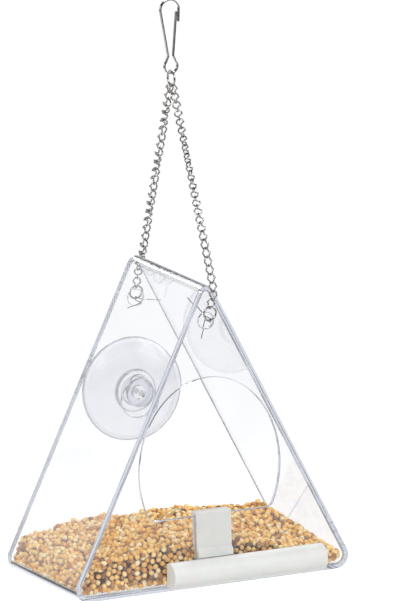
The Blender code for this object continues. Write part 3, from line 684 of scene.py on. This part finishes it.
class FEEDER_OT_sheets(bpy.types.Operator):
    """Builds the bent sheet and the two panels of clear acrylic"""

    bl_idname = "feeder.sheets"
    bl_label = "Acrylic Sheets"

    def execute(self, context):
        house = context.scene.feeder_house
        # The eased edges of the three sheets get painted shade
        look, edge_shade_look = acrylic_material(house), edge_shade_material(house.edge_shade_colour)
        outer, inner = house_outline(house, 0), house_outline(house, house.sheet)
        rim = house_outline(house, house.sheet + house.bond_gap)
        front_cuts = opening_outline(house), tie_hole(house, house.front_hole_drop)
        back_cuts = keyhole_outline(house), tie_hole(house, house.back_hole_drop)
        for name, node, low, high, *outlines in (
            ("bent_sheet", "folded_shell", 0, house.depth, outer, inner),
            ("front_sheet", "front_panel", 0, house.sheet, rim, *front_cuts),
            ("back_sheet", "back_panel", house.depth - house.sheet, house.depth, rim, *back_cuts),
        ):
            sheet = plate(name, outlines, low, high, house.eased_edge, look, edge_shade_look=edge_shade_look)
            seat(sheet, "house", "clear_acrylic", node)
        return {"FINISHED"}


# Seeds

# Spread of the grains' sizes, and of their lean about the heap's normal
SIZE_SPREAD, LEAN_SPREAD = 0.07, 0.45
# How far a grain of the first layer may lie below the heap's smooth skin, or stand proud of it on top
SUNK, PROUD = 0.0006, 0.0016
# How much of a grain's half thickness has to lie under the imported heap's skin
COVERED = 0.96
# Painted shade for grains deep in the heap: the depth at which a grain is painted wholly in shade, and the
# painted shade of the second layer
SHADE_DEPTH, SECOND_SHADE = 0.003, 0.85
# The grains' tones on the ramp of colours, and the rare ones as (least draw, most draw, tone)
TONE_MIDDLE, TONE_SPREAD, TONE_LEAST, TONE_MOST = 0.52, 0.3, 0.1, 0.95
RARE_TONES = ((0, 0.03, 0.02), (0.03, 0.12, 0.07), (0.97, 1, 1.0))


def surface_points(node, count, rng):
    """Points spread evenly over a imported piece's surface, with the normals there."""
    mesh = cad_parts[node].data
    mesh.calc_loop_triangles()
    corners = np.array([vert.co for vert in mesh.vertices])
    triangles = corners[np.array([triangle.vertices for triangle in mesh.loop_triangles])]
    first, second = triangles[:, 1] - triangles[:, 0], triangles[:, 2] - triangles[:, 0]
    normals = np.cross(first, second)
    areas = np.linalg.norm(normals, axis=1)
    chosen = rng.choice(len(areas), count, p=areas / areas.sum())
    across, along = rng.random(count), rng.random(count)
    folded = across + along > 1
    across[folded], along[folded] = 1 - across[folded], 1 - along[folded]
    points = triangles[chosen, 0] + across[:, None] * first[chosen] + along[:, None] * second[chosen]
    return points, normals[chosen] / areas[chosen, None]


def thinned(points, spacing):
    """The points, in order, that keep this way to all kept before them."""
    kept, cells = [], {}
    for index, point in enumerate(points):
        cell = tuple(int(value) for value in np.floor(point / spacing))
        near = [other for x in (-1, 0, 1) for y in (-1, 0, 1) for z in (-1, 0, 1)
                for other in cells.get((cell[0] + x, cell[1] + y, cell[2] + z), ())]
        if all(np.sum((points[other] - point) ** 2) >= spacing ** 2 for other in near):
            cells.setdefault(cell, []).append(index)
            kept.append(index)
    return kept


def grain_form(across=8, rings=3, drawn_in=0.16):
    """Points and faces of one grain of half size 1, blunt at one end and drawn in at the other."""
    points = [(-1, 0, 0)]
    for ring in range(1, rings + 1):
        angle = math.pi * ring / (rings + 1)
        place, size = -math.cos(angle), math.sin(angle)
        size *= 1 - drawn_in * max(0, place)
        for step in range(across):
            turn = math.tau * step / across
            points.append((place, size * math.cos(turn), size * math.sin(turn)))
    points.append((1, 0, 0))
    faces = []
    last = len(points) - 1
    for step in range(across):
        after = (step + 1) % across
        faces.append((0, 1 + after, 1 + step, -1))
        for ring in range(rings - 1):
            start = 1 + ring * across
            faces.append((start + step, start + after, start + across + after, start + across + step))
        start = 1 + (rings - 1) * across
        faces.append((start + step, start + after, last, -1))
    return np.array(points), faces


def turned(normals, rng):
    """Random frames whose last axis leans about each normal."""
    lean = normals + rng.normal(0, LEAN_SPREAD, normals.shape)
    up = lean / np.linalg.norm(lean, axis=1)[:, None]
    other = rng.normal(0, 1, normals.shape)
    way = np.cross(up, other)
    way /= np.linalg.norm(way, axis=1)[:, None]
    return np.stack((way, np.cross(up, way), up), axis=2)


def grain_mesh(name, centres, turns, sizes, tones, buried, material):
    """One mesh of many grains, with each grain's tone, how deep it lies, which sets its painted shade, and
    the place along it.
    """
    points, faces = grain_form()
    count = len(points)
    local = points[None, :, :] * sizes[:, None, :]
    placed = np.einsum("gij,gpj->gpi", turns, local) + centres[:, None, :]
    every = []
    for grain in range(len(centres)):
        start = grain * count
        every += [tuple(start + corner for corner in face if corner >= 0) for face in faces]
    mesh = bpy.data.meshes.new(name)
    mesh.from_pydata(placed.reshape(-1, 3).tolist(), [], every)
    tips = np.tile((points[:, 0] + 1) / 2, len(centres))
    held = {"tone": np.repeat(tones, count), "buried": np.repeat(buried, count), "tip": tips}
    for kind, values in held.items():
        mesh.attributes.new(kind, "FLOAT", "POINT").data.foreach_set("value", values.astype(np.float32))
    mesh.shade_smooth()
    mesh.materials.append(material)
    return add_object(name, mesh)


def kept_inside(tree, point, room, tries=4):
    """The point moved in, where it lies nearer than this to the heap's skin."""
    for _ in range(tries):
        near, normal, _, distance = tree.find_nearest(point)
        inside = (point - near).dot(normal) < 0
        if inside and distance >= room:
            break
        point = near - normal * room * 1.02
    return point


def make_core(seeds):
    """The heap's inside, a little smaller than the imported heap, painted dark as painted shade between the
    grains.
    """
    shape = bmesh.new()
    shape.from_mesh(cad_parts["seed_fill"].data)
    bmesh.ops.remove_doubles(shape, verts=shape.verts, dist=WELD * 10)
    bmesh.ops.recalc_face_normals(shape, faces=shape.faces)
    shape.normal_update()
    moves = [(vert, vert.co - vert.normal * seeds.core_inset * vert.calc_shell_factor())
             for vert in shape.verts]
    for vert, place in moves:
        vert.co = place
    return piece_from("millet_core", shape, shade_material(seeds.core))


class FEEDER_OT_seeds(bpy.types.Operator):
    """Builds the heap of millet, grain by grain over a core painted dark as shade"""

    bl_idname = "feeder.seeds"
    bl_label = "Millet"

    def execute(self, context):
        seeds = context.scene.feeder_seeds
        rng = np.random.default_rng(seeds.random_seed)
        look = grain_material(seeds)
        self.lay(make_core(seeds), "seed_fill")
        points, normals = surface_points("seed_fill", seeds.tries, rng)
        outer, inner = thinned(points, seeds.spacing), thinned(points[::-1], seeds.spacing)
        depths = np.concatenate((rng.random(len(outer)) ** 2 * SUNK, np.full(len(inner), seeds.layer_drop)))
        points = np.concatenate((points[outer], points[::-1][inner]))
        normals = np.concatenate((normals[outer], normals[::-1][inner]))
        count = len(points)
        half_sizes = np.array((seeds.half_length, seeds.half_width, seeds.half_thickness))
        sizes = half_sizes * rng.normal(1, SIZE_SPREAD, (count, 3))
        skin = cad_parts["seed_fill"].data
        corners, faces = [vert.co for vert in skin.vertices], [face.vertices for face in skin.polygons]
        tree = BVHTree.FromPolygons(corners, faces)
        centres = np.array([
            kept_inside(tree, Vector(point - normal * (room + depth)), room * COVERED)
            for point, normal, room, depth in zip(points, normals, sizes[:, 2], depths)
        ])
        turns = turned(normals, rng)
        centres[:, 2] += self.lifts(context.scene.feeder_house, centres, normals, rng)
        tones = self.tones(count, rng)
        # Painted shade: grains lying deeper in the heap are darkened by their depth, and the second layer by
        # a fixed share
        buried = np.where(depths < seeds.layer_drop, depths / SHADE_DEPTH, SECOND_SHADE)
        for part, start in enumerate(range(0, count, seeds.lot)):
            rows = slice(start, start + seeds.lot)
            lot = (values[rows] for values in (centres, turns, sizes, tones, buried))
            self.lay(grain_mesh(f"millet_grains_{part + 1}", *lot, look))
        routes = self.stalks(tree)
        self.lay(tube("straw_stalks", routes, seeds.stalk_radius, STALK_SIDES, straw_material(seeds.straw)))
        return {"FINISHED"}

    def lay(self, obj, *nodes):
        """Lets a lot of seed ride on the house. The sheets don't mirror it."""
        obj.visible_glossy = False
        hold(obj, "house", "millet_seed", *nodes)

    def tones(self, count, rng):
        """Each grain's tone: most are golden or pale, and few dark, rusty or palest."""
        tones = np.clip(rng.normal(TONE_MIDDLE, TONE_SPREAD, count), TONE_LEAST, TONE_MOST)
        draws = rng.random(count)
        for least, most, tone in RARE_TONES:
            tones[(draws > least) & (draws < most)] = tone
        return tones

    def lifts(self, house, centres, normals, rng):
        """How far each grain on top stands proud of the smooth heap, away from the sloping walls."""
        wall_room, level = 0.0075, 0.6
        places = centres - np.array(house_zero())
        free = half_width_at(house, places[:, 2]) - np.abs(places[:, 0]) > wall_room
        return np.where((normals[:, 2] > level) & free, rng.random(len(centres)) ** 2 * PROUD, 0)

    def stalks(self, tree):
        """Bent stalks that lie on the heap or stick out of it."""
        above, bow = 0.0011, 0.0009
        routes = []
        for across, along, heading, length, rise in STALKS:
            way = Vector((math.cos(math.radians(heading)), math.sin(math.radians(heading)), 0))
            middle = house_zero() + Vector((across, along, 0))
            route = []
            for step in range(STALK_STEPS + 1):
                share = step / STALK_STEPS
                place = middle + way * length * (share - 0.5)
                bent = Vector((-way.y, way.x, 0)) * bow * math.sin(math.pi * share)
                top = tree.ray_cast(Vector((place.x, place.y, 0)), Vector((0, 0, -1)))[0]
                route.append(Vector((place.x, place.y, top.z + above + rise * share)) + bent)
            routes.append(route)
        return routes


# Perch

class FEEDER_OT_perch(bpy.types.Operator):
    """Builds the perch rod and the clip that hooks over the lip"""

    bl_idname = "feeder.perch"
    bl_label = "Perch"

    def execute(self, context):
        perch, house = context.scene.feeder_perch, context.scene.feeder_house
        low, high = house_box("perch_bar")
        axis = Vector((high.y - perch.rod_flat, (low.z + high.z) / 2))
        edge = math.acos(perch.rod_flat / perch.rod_radius)
        outline = arc(axis, perch.rod_radius, edge, math.tau - edge, 72)
        look = milky_material("milky_plastic_rod", perch.rod_colour)
        rod = plate("perch_rod", [outline], low.x, high.x, perch.rod_edge, look, "X")
        seat(rod, "perch", "milky_plastic", "perch_bar")

        low, high = house_box("perch_clip")
        gap, face_depth, nose_depth, waist_rise, bend = 0.0003, 0.002, 0.0024, 0.0058, 0.0012
        face, inner, seat_height = -gap - face_depth, house.sheet + gap, house.lip_height + gap
        around = perch.rod_radius + gap
        nose = face - nose_depth - axis.x
        foot = arc(axis, around, math.acos(nose / around), math.acos(perch.rod_flat / around), 12)
        waist = foot[0].y + waist_rise
        under = ((-gap, seat_height), (inner, seat_height), (inner, low.z), (high.y, low.z))
        outline = foot + [Vector(place) for place in under]
        outline += arc((high.y - bend, high.z - bend), bend, 0, math.pi / 2, 10)
        outline += arc((face + bend, high.z - bend), bend, math.pi / 2, math.pi, 10)
        outline += [Vector((face, waist)), Vector((foot[0].x, waist - nose_depth))]
        look = milky_material("milky_plastic_clip", perch.clip_colour)
        clip = plate("perch_hook", [outline], low.x, high.x, perch.clip_edge, look, "X")
        seat(clip, "perch", "milky_plastic", "perch_clip")
        return {"FINISHED"}


# Suction cup

def cup_profile(cup, low, high):
    """The cup's section as (radius, depth): nub, head, neck, hub, dish, rim and the hollow's middle."""
    nub, head, neck, hub = 0.002, 0.0093, 0.00425, 0.0133
    head_round, wall, lip, steps = 0.001, 0.0016, 0.003, 26
    head_front, head_back = low + 0.0012, low + 0.0042
    hub_front = head_back + 0.0036
    hub_back = hub_front + 0.0027
    profile = [(0, low), (nub - 0.0006, low + 0.0001), (nub, low + 0.0006), (nub, head_front)]
    profile += [(head - head_round * (1 - math.sin(angle)), head_front + head_round * (1 - math.cos(angle)))
                for angle in (0, 0.4, 0.8, 1.2, math.pi / 2)]
    profile += [(head, head_back - 0.0003), (head - 0.0003, head_back), (neck, head_back), (neck, hub_front)]
    profile += [(hub - 0.0007, hub_front), (hub - 0.0002, hub_front + 0.0002), (hub, hub_front + 0.0007)]
    outside, inside = [], []
    for step in range(steps + 1):
        share = step / steps
        # Two fine ridges run round the dish
        ripple = sum(height * math.exp(-((share - place) / width) ** 2)
                     for place, width, height in ((0.55, 0.03, 0.00016), (0.9, 0.02, 0.00022)))
        radius = hub + (cup.radius - hub) * share
        depth = hub_back + (high - hub_back - wall) * share ** 1.7
        outside.append((radius, depth - ripple))
        inside.append((radius - lip * share, depth + wall))
    rim = [(cup.radius, high - 0.0003), (cup.radius - 0.0003, high)]
    return profile + outside + rim + inside[::-1] + [(0, hub_back + wall)]


class FEEDER_OT_suction_cup(bpy.types.Operator):
    """Builds the suction cup in the back panel's keyhole"""

    bl_idname = "feeder.suction_cup"
    bl_label = "Suction Cup"

    def execute(self, context):
        cup = context.scene.feeder_cup
        low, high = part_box("suction_cup")
        centre = (low + high) / 2
        shape = bmesh.new()
        verts = [shape.verts.new((centre.x + radius, depth, centre.z))
                 for radius, depth in cup_profile(cup, low.y, high.y)]
        edges = [shape.edges.new(pair) for pair in zip(verts, verts[1:])]
        bmesh.ops.spin(shape, geom=verts + edges, cent=(centre.x, 0, centre.z), axis=(0, 1, 0),
                       angle=math.tau, steps=CUP_STEPS, use_merge=True)
        obj = piece_from("suction_cup_soft", shape, cup_material(cup, centre), CUP_SHARP_ANGLE)
        hold(obj, "cup", "clear_soft_plastic", "suction_cup")
        return {"FINISHED"}


# Snap hook

def ribbon(points, thickness):
    """The outline of a strip bent along the points, seen on its edge."""
    left, right = [], []
    for index, point in enumerate(points):
        ahead = points[min(index + 1, len(points) - 1)] - point
        behind = point - points[max(index - 1, 0)]
        way = (ahead.normalized() + behind.normalized()).normalized()
        side = Vector((-way.y, way.x)) * thickness / 2
        left.append(point + side)
        right.append(point - side)
    return left + right[::-1]


class FEEDER_OT_snap_hook(bpy.types.Operator):
    """Builds the snap hook's strip and its gate"""

    bl_idname = "feeder.snap_hook"
    bl_label = "Snap Hook"

    def execute(self, context):
        hook = context.scene.feeder_hook
        look = metal_material("spring_steel_strip", hook.colour, 0.12, 0.26)
        half, thickness = hook.strip_width / 2, hook.strip_thickness
        low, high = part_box("snap_hook")
        eye_radius, eye_open, bend_radius = 0.0044, math.radians(40), 0.0063
        waist_half, waist_rise, root_gap = 0.0017, 0.0108, 0.0003
        tip_inset, tip_drop, stop_gap, stop_drop = 0.0005, 0.0081, 0.0004, 0.0015
        eye = Vector((0, low.z + thickness / 2 + eye_radius))
        bend = Vector((0, high.z - thickness / 2 - bend_radius))
        waist_height = low.z + thickness / 2 + waist_rise
        route = [bend + Vector((bend_radius - tip_inset, -tip_drop))]
        route += arc(bend, bend_radius, 0, math.pi, 36) + [Vector((-waist_half, waist_height))]
        route += arc(eye, eye_radius, math.pi - eye_open, math.tau + eye_open, 60)
        fixed = plate("hook_strip", [ribbon(route, thickness)], -half, half, hook.strip_edge, look)
        root, waist = route[-1], Vector((waist_half, waist_height))
        root = root + (waist - root).normalized() * root_gap
        stop = Vector((bend_radius - tip_inset - stop_gap - thickness, bend.y - stop_drop))
        leg = ribbon([root, waist, stop], thickness)
        gate = plate("gate_strip", [leg], -half, half, hook.strip_edge, look)
        hold(fixed, "hook", "spring_steel", "snap_hook")
        hold(gate, "gate", "spring_steel", "hook_gate")
        return {"FINISHED"}


# Chains, rings and ties

def link_frame(node, side_before):
    """A packed link's centre, its turn and its half length, from where its corners lie."""
    corners = np.unique(np.round([vert.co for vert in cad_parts[node].data.vertices], 7), axis=0)
    centre = corners.mean(axis=0)
    ways = np.linalg.eigh(np.cov((corners - centre).T))[1]
    up, diagonal = Vector(ways[:, 2]), Vector(ways[:, 1])
    if up.z < 0:
        up = -up
    side = (diagonal + up.cross(diagonal)).normalized()
    if side.dot(side_before) < 0:
        side = -side
    heights = (corners - centre) @ np.array(up)
    turn = Matrix((side, up.cross(side), up)).transposed()
    return Vector(centre), turn.to_quaternion(), (heights.max() - heights.min()) / 2


def leg_frames(nodes):
    """The frames of a leg's packed links, from the top down, turned alike where they can be."""
    frames, side = [], Vector((1, 0, 0))
    for node in nodes:
        frames.append(link_frame(node, side))
        side = frames[-1][1] @ Vector((1, 0, 0))
    return frames


def link_route(half_length, half_width):
    """One link's centre line, its lower end turned a quarter round from its upper end."""
    straight = half_length - half_width
    flat = arc((0, straight), half_width, 0, math.pi, LINK_STEPS)
    flat += [Vector((-half_width, straight * place)) for place in (0.5, 0, -0.5)]
    flat += arc((0, -straight), half_width, math.pi, math.tau, LINK_STEPS)
    flat += [Vector((half_width, straight * place)) for place in (-0.5, 0, 0.5)]
    points = []
    for side, up in flat:
        turn = -math.pi / 4 * (1 - max(-1, min(1, up / straight)))
        points.append(Vector((side * math.cos(turn), side * math.sin(turn), up)))
    return points


def leg_routes(frames, count, chain):
    """The centre lines of this many links, spread along the way of a leg's packed links."""
    packed_pitch = (frames[1][0] - frames[0][0]).length
    pitch = packed_pitch * len(frames) / count
    half = frames[0][2] - chain.link_wire - (packed_pitch - pitch) / 2
    points = link_route(half, chain.link_half_width)
    routes = []
    for index in range(count):
        place = pitch * (index + 0.5) / packed_pitch - 0.5
        near = min(max(math.floor(place), 0), len(frames) - 2)
        (centre, turn, _), (next_centre, next_turn, _) = frames[near:near + 2]
        centre = centre + (next_centre - centre) * (place - near)
        turn = turn.slerp(next_turn, min(max(place - near, 0), 1))
        routes.append([centre + turn @ point for point in points])
    return routes


def ring_route(node, wire):
    """The centre line of a packed ring."""
    low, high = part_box(node)
    centre, reach = (low + high) / 2, (high - low) / 2
    across = Vector((1, 0, 0)) if reach.x > reach.y else Vector((0, 1, 0))
    circle = arc((0, 0), reach.z - wire, 0, math.tau, RING_STEPS)[:-1]
    return [centre + point.x * across + point.y * Vector((0, 0, 1)) for point in circle]


class FEEDER_OT_chains(bpy.types.Operator):
    """Builds the two chains and the three rings"""

    bl_idname = "feeder.chains"
    bl_label = "Chains and Rings"

    def execute(self, context):
        chain = context.scene.feeder_chain
        look = metal_material("nickel_plated_wire", chain.colour, 0.05, 0.14)
        for leg, count in (("front", chain.front_links), ("back", chain.back_links)):
            nodes = sorted(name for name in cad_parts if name.startswith(f"{leg}_link_"))
            routes = leg_routes(leg_frames(nodes), count, chain)
            obj = tube(f"{leg}_chain", routes, chain.link_wire, LINK_SIDES, look, True)
            hold(obj, "sling", "nickel_plate", *nodes)
        for node, body in (("top_ring", "ring"), ("front_ring", "sling"), ("back_ring", "sling")):
            route = ring_route(node, chain.ring_wire)
            obj = tube(f"{node}_wire", [route], chain.ring_wire, RING_SIDES, look, True)
            hold(obj, body, "nickel_plate", node)
        return {"FINISHED"}


class FEEDER_OT_ties(bpy.types.Operator):
    """Finishes the two wire ties"""

    bl_idname = "feeder.ties"
    bl_label = "Wire Ties"

    def execute(self, context):
        chain = context.scene.feeder_chain
        look = metal_material("tie_wire_metal", chain.tie_colour, 0.3, 0.45)
        for node in ("front_wire_tie", "back_wire_tie"):
            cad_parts[node].data.materials[0] = look
        return {"FINISHED"}


# Stage

def add_lamp(name, place, size, power):
    """A round lamp, turned to the feeder."""
    data = bpy.data.lights.new(name, "AREA")
    data.shape = "DISK"
    data.size = size
    data.energy = power
    obj = add_object(name, data)
    obj.location = place
    obj.rotation_euler = (LAMP_TARGET - Vector(place)).to_track_quat("-Z", "Y").to_euler()


def mirrored_room(tree, room):
    """What a mirrored ray sees: the room, or an even light after many turns in a sheet."""
    depth = tree.nodes.new("ShaderNodeLightPath").outputs["Glossy Depth"]
    return blended(tree, ranged(tree, depth, 2, 4), room, LOST_LIGHT)


def ray_kinds(tree):
    """Two masks: what the camera sees straight on or through glass, and what metal or an edge mirrors."""
    path = tree.nodes.new("ShaderNodeLightPath").outputs
    mirrored = maths(tree, "MINIMUM", path["Glossy Depth"], 1.0)
    through = maths(tree, "MAXIMUM", path["Is Camera Ray"], path["Is Transmission Ray"])
    shown = maths(tree, "MAXIMUM", through, path["Is Glossy Ray"])
    direct = maths(tree, "MULTIPLY", through, maths(tree, "SUBTRACT", 1.0, mirrored))
    return direct, maths(tree, "MULTIPLY", shown, mirrored)


def make_world(stage):
    """White where it is seen. Mirrored, it is pale behind, and dim before with a bright band above."""
    world = bpy.data.worlds.new("studio")
    world.use_nodes = True
    tree = world.node_tree
    aside, inward, up = axes(tree, tree.nodes.new("ShaderNodeTexCoord").outputs["Generated"])
    rise = ranged(tree, up, -1, 1)
    behind = ramp(tree, rise, (0.5, PALE_ROOM), (0.601, PALE_ROOM), (0.607, DARK_ROOM), (0.9, DARK_ROOM))
    behind = blended(tree, ranged(tree, aside, 0.08, 0.2), behind, DARK_ROOM)
    before = ramp(tree, rise, (0.52, DIM_ROOM), (0.64, DIM_ROOM), (0.68, 1), (0.82, 1), (0.87, DARK_ROOM))
    room = mirrored_room(tree, blended(tree, ranged(tree, inward, -0.35, 0.3), before, behind))
    direct, mirrored = ray_kinds(tree)
    plain = maths(tree, "ADD", stage.world_level, maths(tree, "MULTIPLY", direct, 1 - stage.world_level))
    give(tree.nodes["Background"], {"Color": blended(tree, mirrored, plain, room)})
    bpy.context.scene.world = world


def add_floor(centre):
    """A level disc, whose own zero is its centre."""
    shape = bmesh.new()
    bmesh.ops.create_circle(shape, cap_ends=True, radius=FLOOR_RADIUS, segments=96)
    mesh = bpy.data.meshes.new("floor")
    shape.to_mesh(mesh)
    shape.free()
    mesh.materials.append(floor_material())
    obj = add_object("floor", mesh)
    obj.location = centre


def floor_material():
    """Pale floor that turns white where it is seen, keeps shadows, and is mirrored as a dim room."""
    made, tree, shader = new_material(
        "pale_floor", Base_Color=full(0.85), Roughness=0.9, Specular_IOR_Level=0,
    )
    place = places(tree)
    reach = vector_maths(tree, "LENGTH", place)
    tones = ramp(tree, maths(tree, "DIVIDE", reach, FLOOR_RADIUS), (0, PALE_ROOM), (0.21, PALE_ROOM),
                 (0.24, DIM_ROOM), (0.5, DIM_ROOM), (0.64, 0.5))
    # Straight before the house the floor is pale, because the roof mirrors it at a low angle from behind
    across, along, _ = axes(tree, place)
    aside = maths(tree, "ABSOLUTE", maths(tree, "DIVIDE", across, along))
    dim = maths(tree, "MAXIMUM", ranged(tree, along, -0.6, -0.2), ranged(tree, aside, 0.26, 0.32))
    tones = blended(tree, dim, 0.9, tones)
    # The dark line along the left floor bend mirrors this patch behind and left of the house
    patch = vector_maths(tree, "DISTANCE", place, (-0.25, 0.15, 0))
    tones = blended(tree, ranged(tree, patch, 0.155, 0.175), DIM_ROOM, tones)
    room = add_node(tree, "ShaderNodeEmission", {"Color": mirrored_room(tree, tones)}).outputs[0]
    white = add_node(tree, "ShaderNodeEmission").outputs[0]
    glow = add_node(tree, "ShaderNodeEmission", {"Strength": 0.22}).outputs[0]
    pale = shader.outputs[0]
    lifted = add_node(tree, "ShaderNodeAddShader", {0: pale, 1: glow}).outputs[0]
    direct, mirrored = ray_kinds(tree)
    seen = mixed(tree, ranged(tree, reach, 0.45, 0.95), lifted, white)
    lit = mixed(tree, direct, pale, seen)
    give(tree.nodes["Material Output"], {"Surface": mixed(tree, mirrored, lit, room)})
    return made


class FEEDER_OT_stage(bpy.types.Operator):
    """Sets the camera, the floor, the lamps and the white surroundings"""

    bl_idname = "feeder.stage"
    bl_label = "Stage"

    def execute(self, context):
        stage = context.scene.feeder_stage
        context.scene.view_settings.view_transform = "Standard"
        # Light turns many times inside a sheet before it leaves at an edge
        context.scene.cycles.max_bounces = 40
        context.scene.cycles.glossy_bounces = 32
        context.scene.cycles.transmission_bounces = 32
        context.scene.cycles.transparent_max_bounces = 32
        data = bpy.data.cameras.new("camera")
        data.sensor_width = 36
        data.lens = data.sensor_width * stage.distance / (PICTURE_HEIGHT * PICTURE_PIXEL)
        data.clip_end = 50
        camera = add_object("camera", data)
        up = CAMERA_RIGHT.cross(CAMERA_FORWARD)
        turn = Matrix((CAMERA_RIGHT, up, -CAMERA_FORWARD)).transposed().to_4x4()
        camera.matrix_world = Matrix.Translation(CAMERA_TARGET - CAMERA_FORWARD * stage.distance) @ turn
        context.scene.camera = camera

        make_world(stage)
        add_floor((0, 0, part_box("folded_shell")[0].z - stage.floor_drop))
        add_lamp("key", (-1.1, -1.3, 1.1), 1.2, stage.key_power)
        add_lamp("fill", (1.5, -0.9, 0.5), 1.2, stage.key_power * 0.45)
        add_lamp("back", (0.4, 1.5, 1.0), 1.0, stage.key_power * 0.5)
        return {"FINISHED"}


class FEEDER_PT_pieces(bpy.types.Panel):
    """Lists the feeder's pieces and settings"""

    bl_idname = "FEEDER_PT_pieces"
    bl_label = "Hanging Feeder"
    bl_space_type = "VIEW_3D"
    bl_region_type = "UI"
    bl_category = "Feeder"

    def draw(self, context):
        for settings, operators in PIECES.items():
            box = self.layout.box()
            for operator in operators:
                box.operator(operator.bl_idname)
            held = getattr(context.scene, settings)
            for name in held.__annotations__:
                box.prop(held, name)


SETTINGS = {
    "feeder_stage": StageSettings,
    "feeder_house": HouseSettings,
    "feeder_seeds": SeedSettings,
    "feeder_perch": PerchSettings,
    "feeder_cup": CupSettings,
    "feeder_hook": HookSettings,
    "feeder_chain": ChainSettings,
}
PIECES = {
    "feeder_stage": (FEEDER_OT_stage,),
    "feeder_house": (FEEDER_OT_sheets,),
    "feeder_seeds": (FEEDER_OT_seeds,),
    "feeder_perch": (FEEDER_OT_perch,),
    "feeder_cup": (FEEDER_OT_suction_cup,),
    "feeder_hook": (FEEDER_OT_snap_hook,),
    "feeder_chain": (FEEDER_OT_chains, FEEDER_OT_ties),
}
OPERATORS = [operator for operators in PIECES.values() for operator in operators]
CLASSES = [*SETTINGS.values(), *OPERATORS, FEEDER_PT_pieces]


def register():
    for made in CLASSES:
        bpy.utils.register_class(made)
    for name, settings in SETTINGS.items():
        setattr(bpy.types.Scene, name, bpy.props.PointerProperty(type=settings))


def unregister():
    for name in SETTINGS:
        delattr(bpy.types.Scene, name)
    for made in reversed(CLASSES):
        bpy.utils.unregister_class(made)


def main():
    register()
    bpy.ops.feeder.stage()
    bpy.ops.feeder.sheets()
    bpy.ops.feeder.seeds()
    bpy.ops.feeder.perch()
    bpy.ops.feeder.suction_cup()
    bpy.ops.feeder.snap_hook()
    bpy.ops.feeder.chains()
    bpy.ops.feeder.ties()


if __name__ == "__main__":
    main()
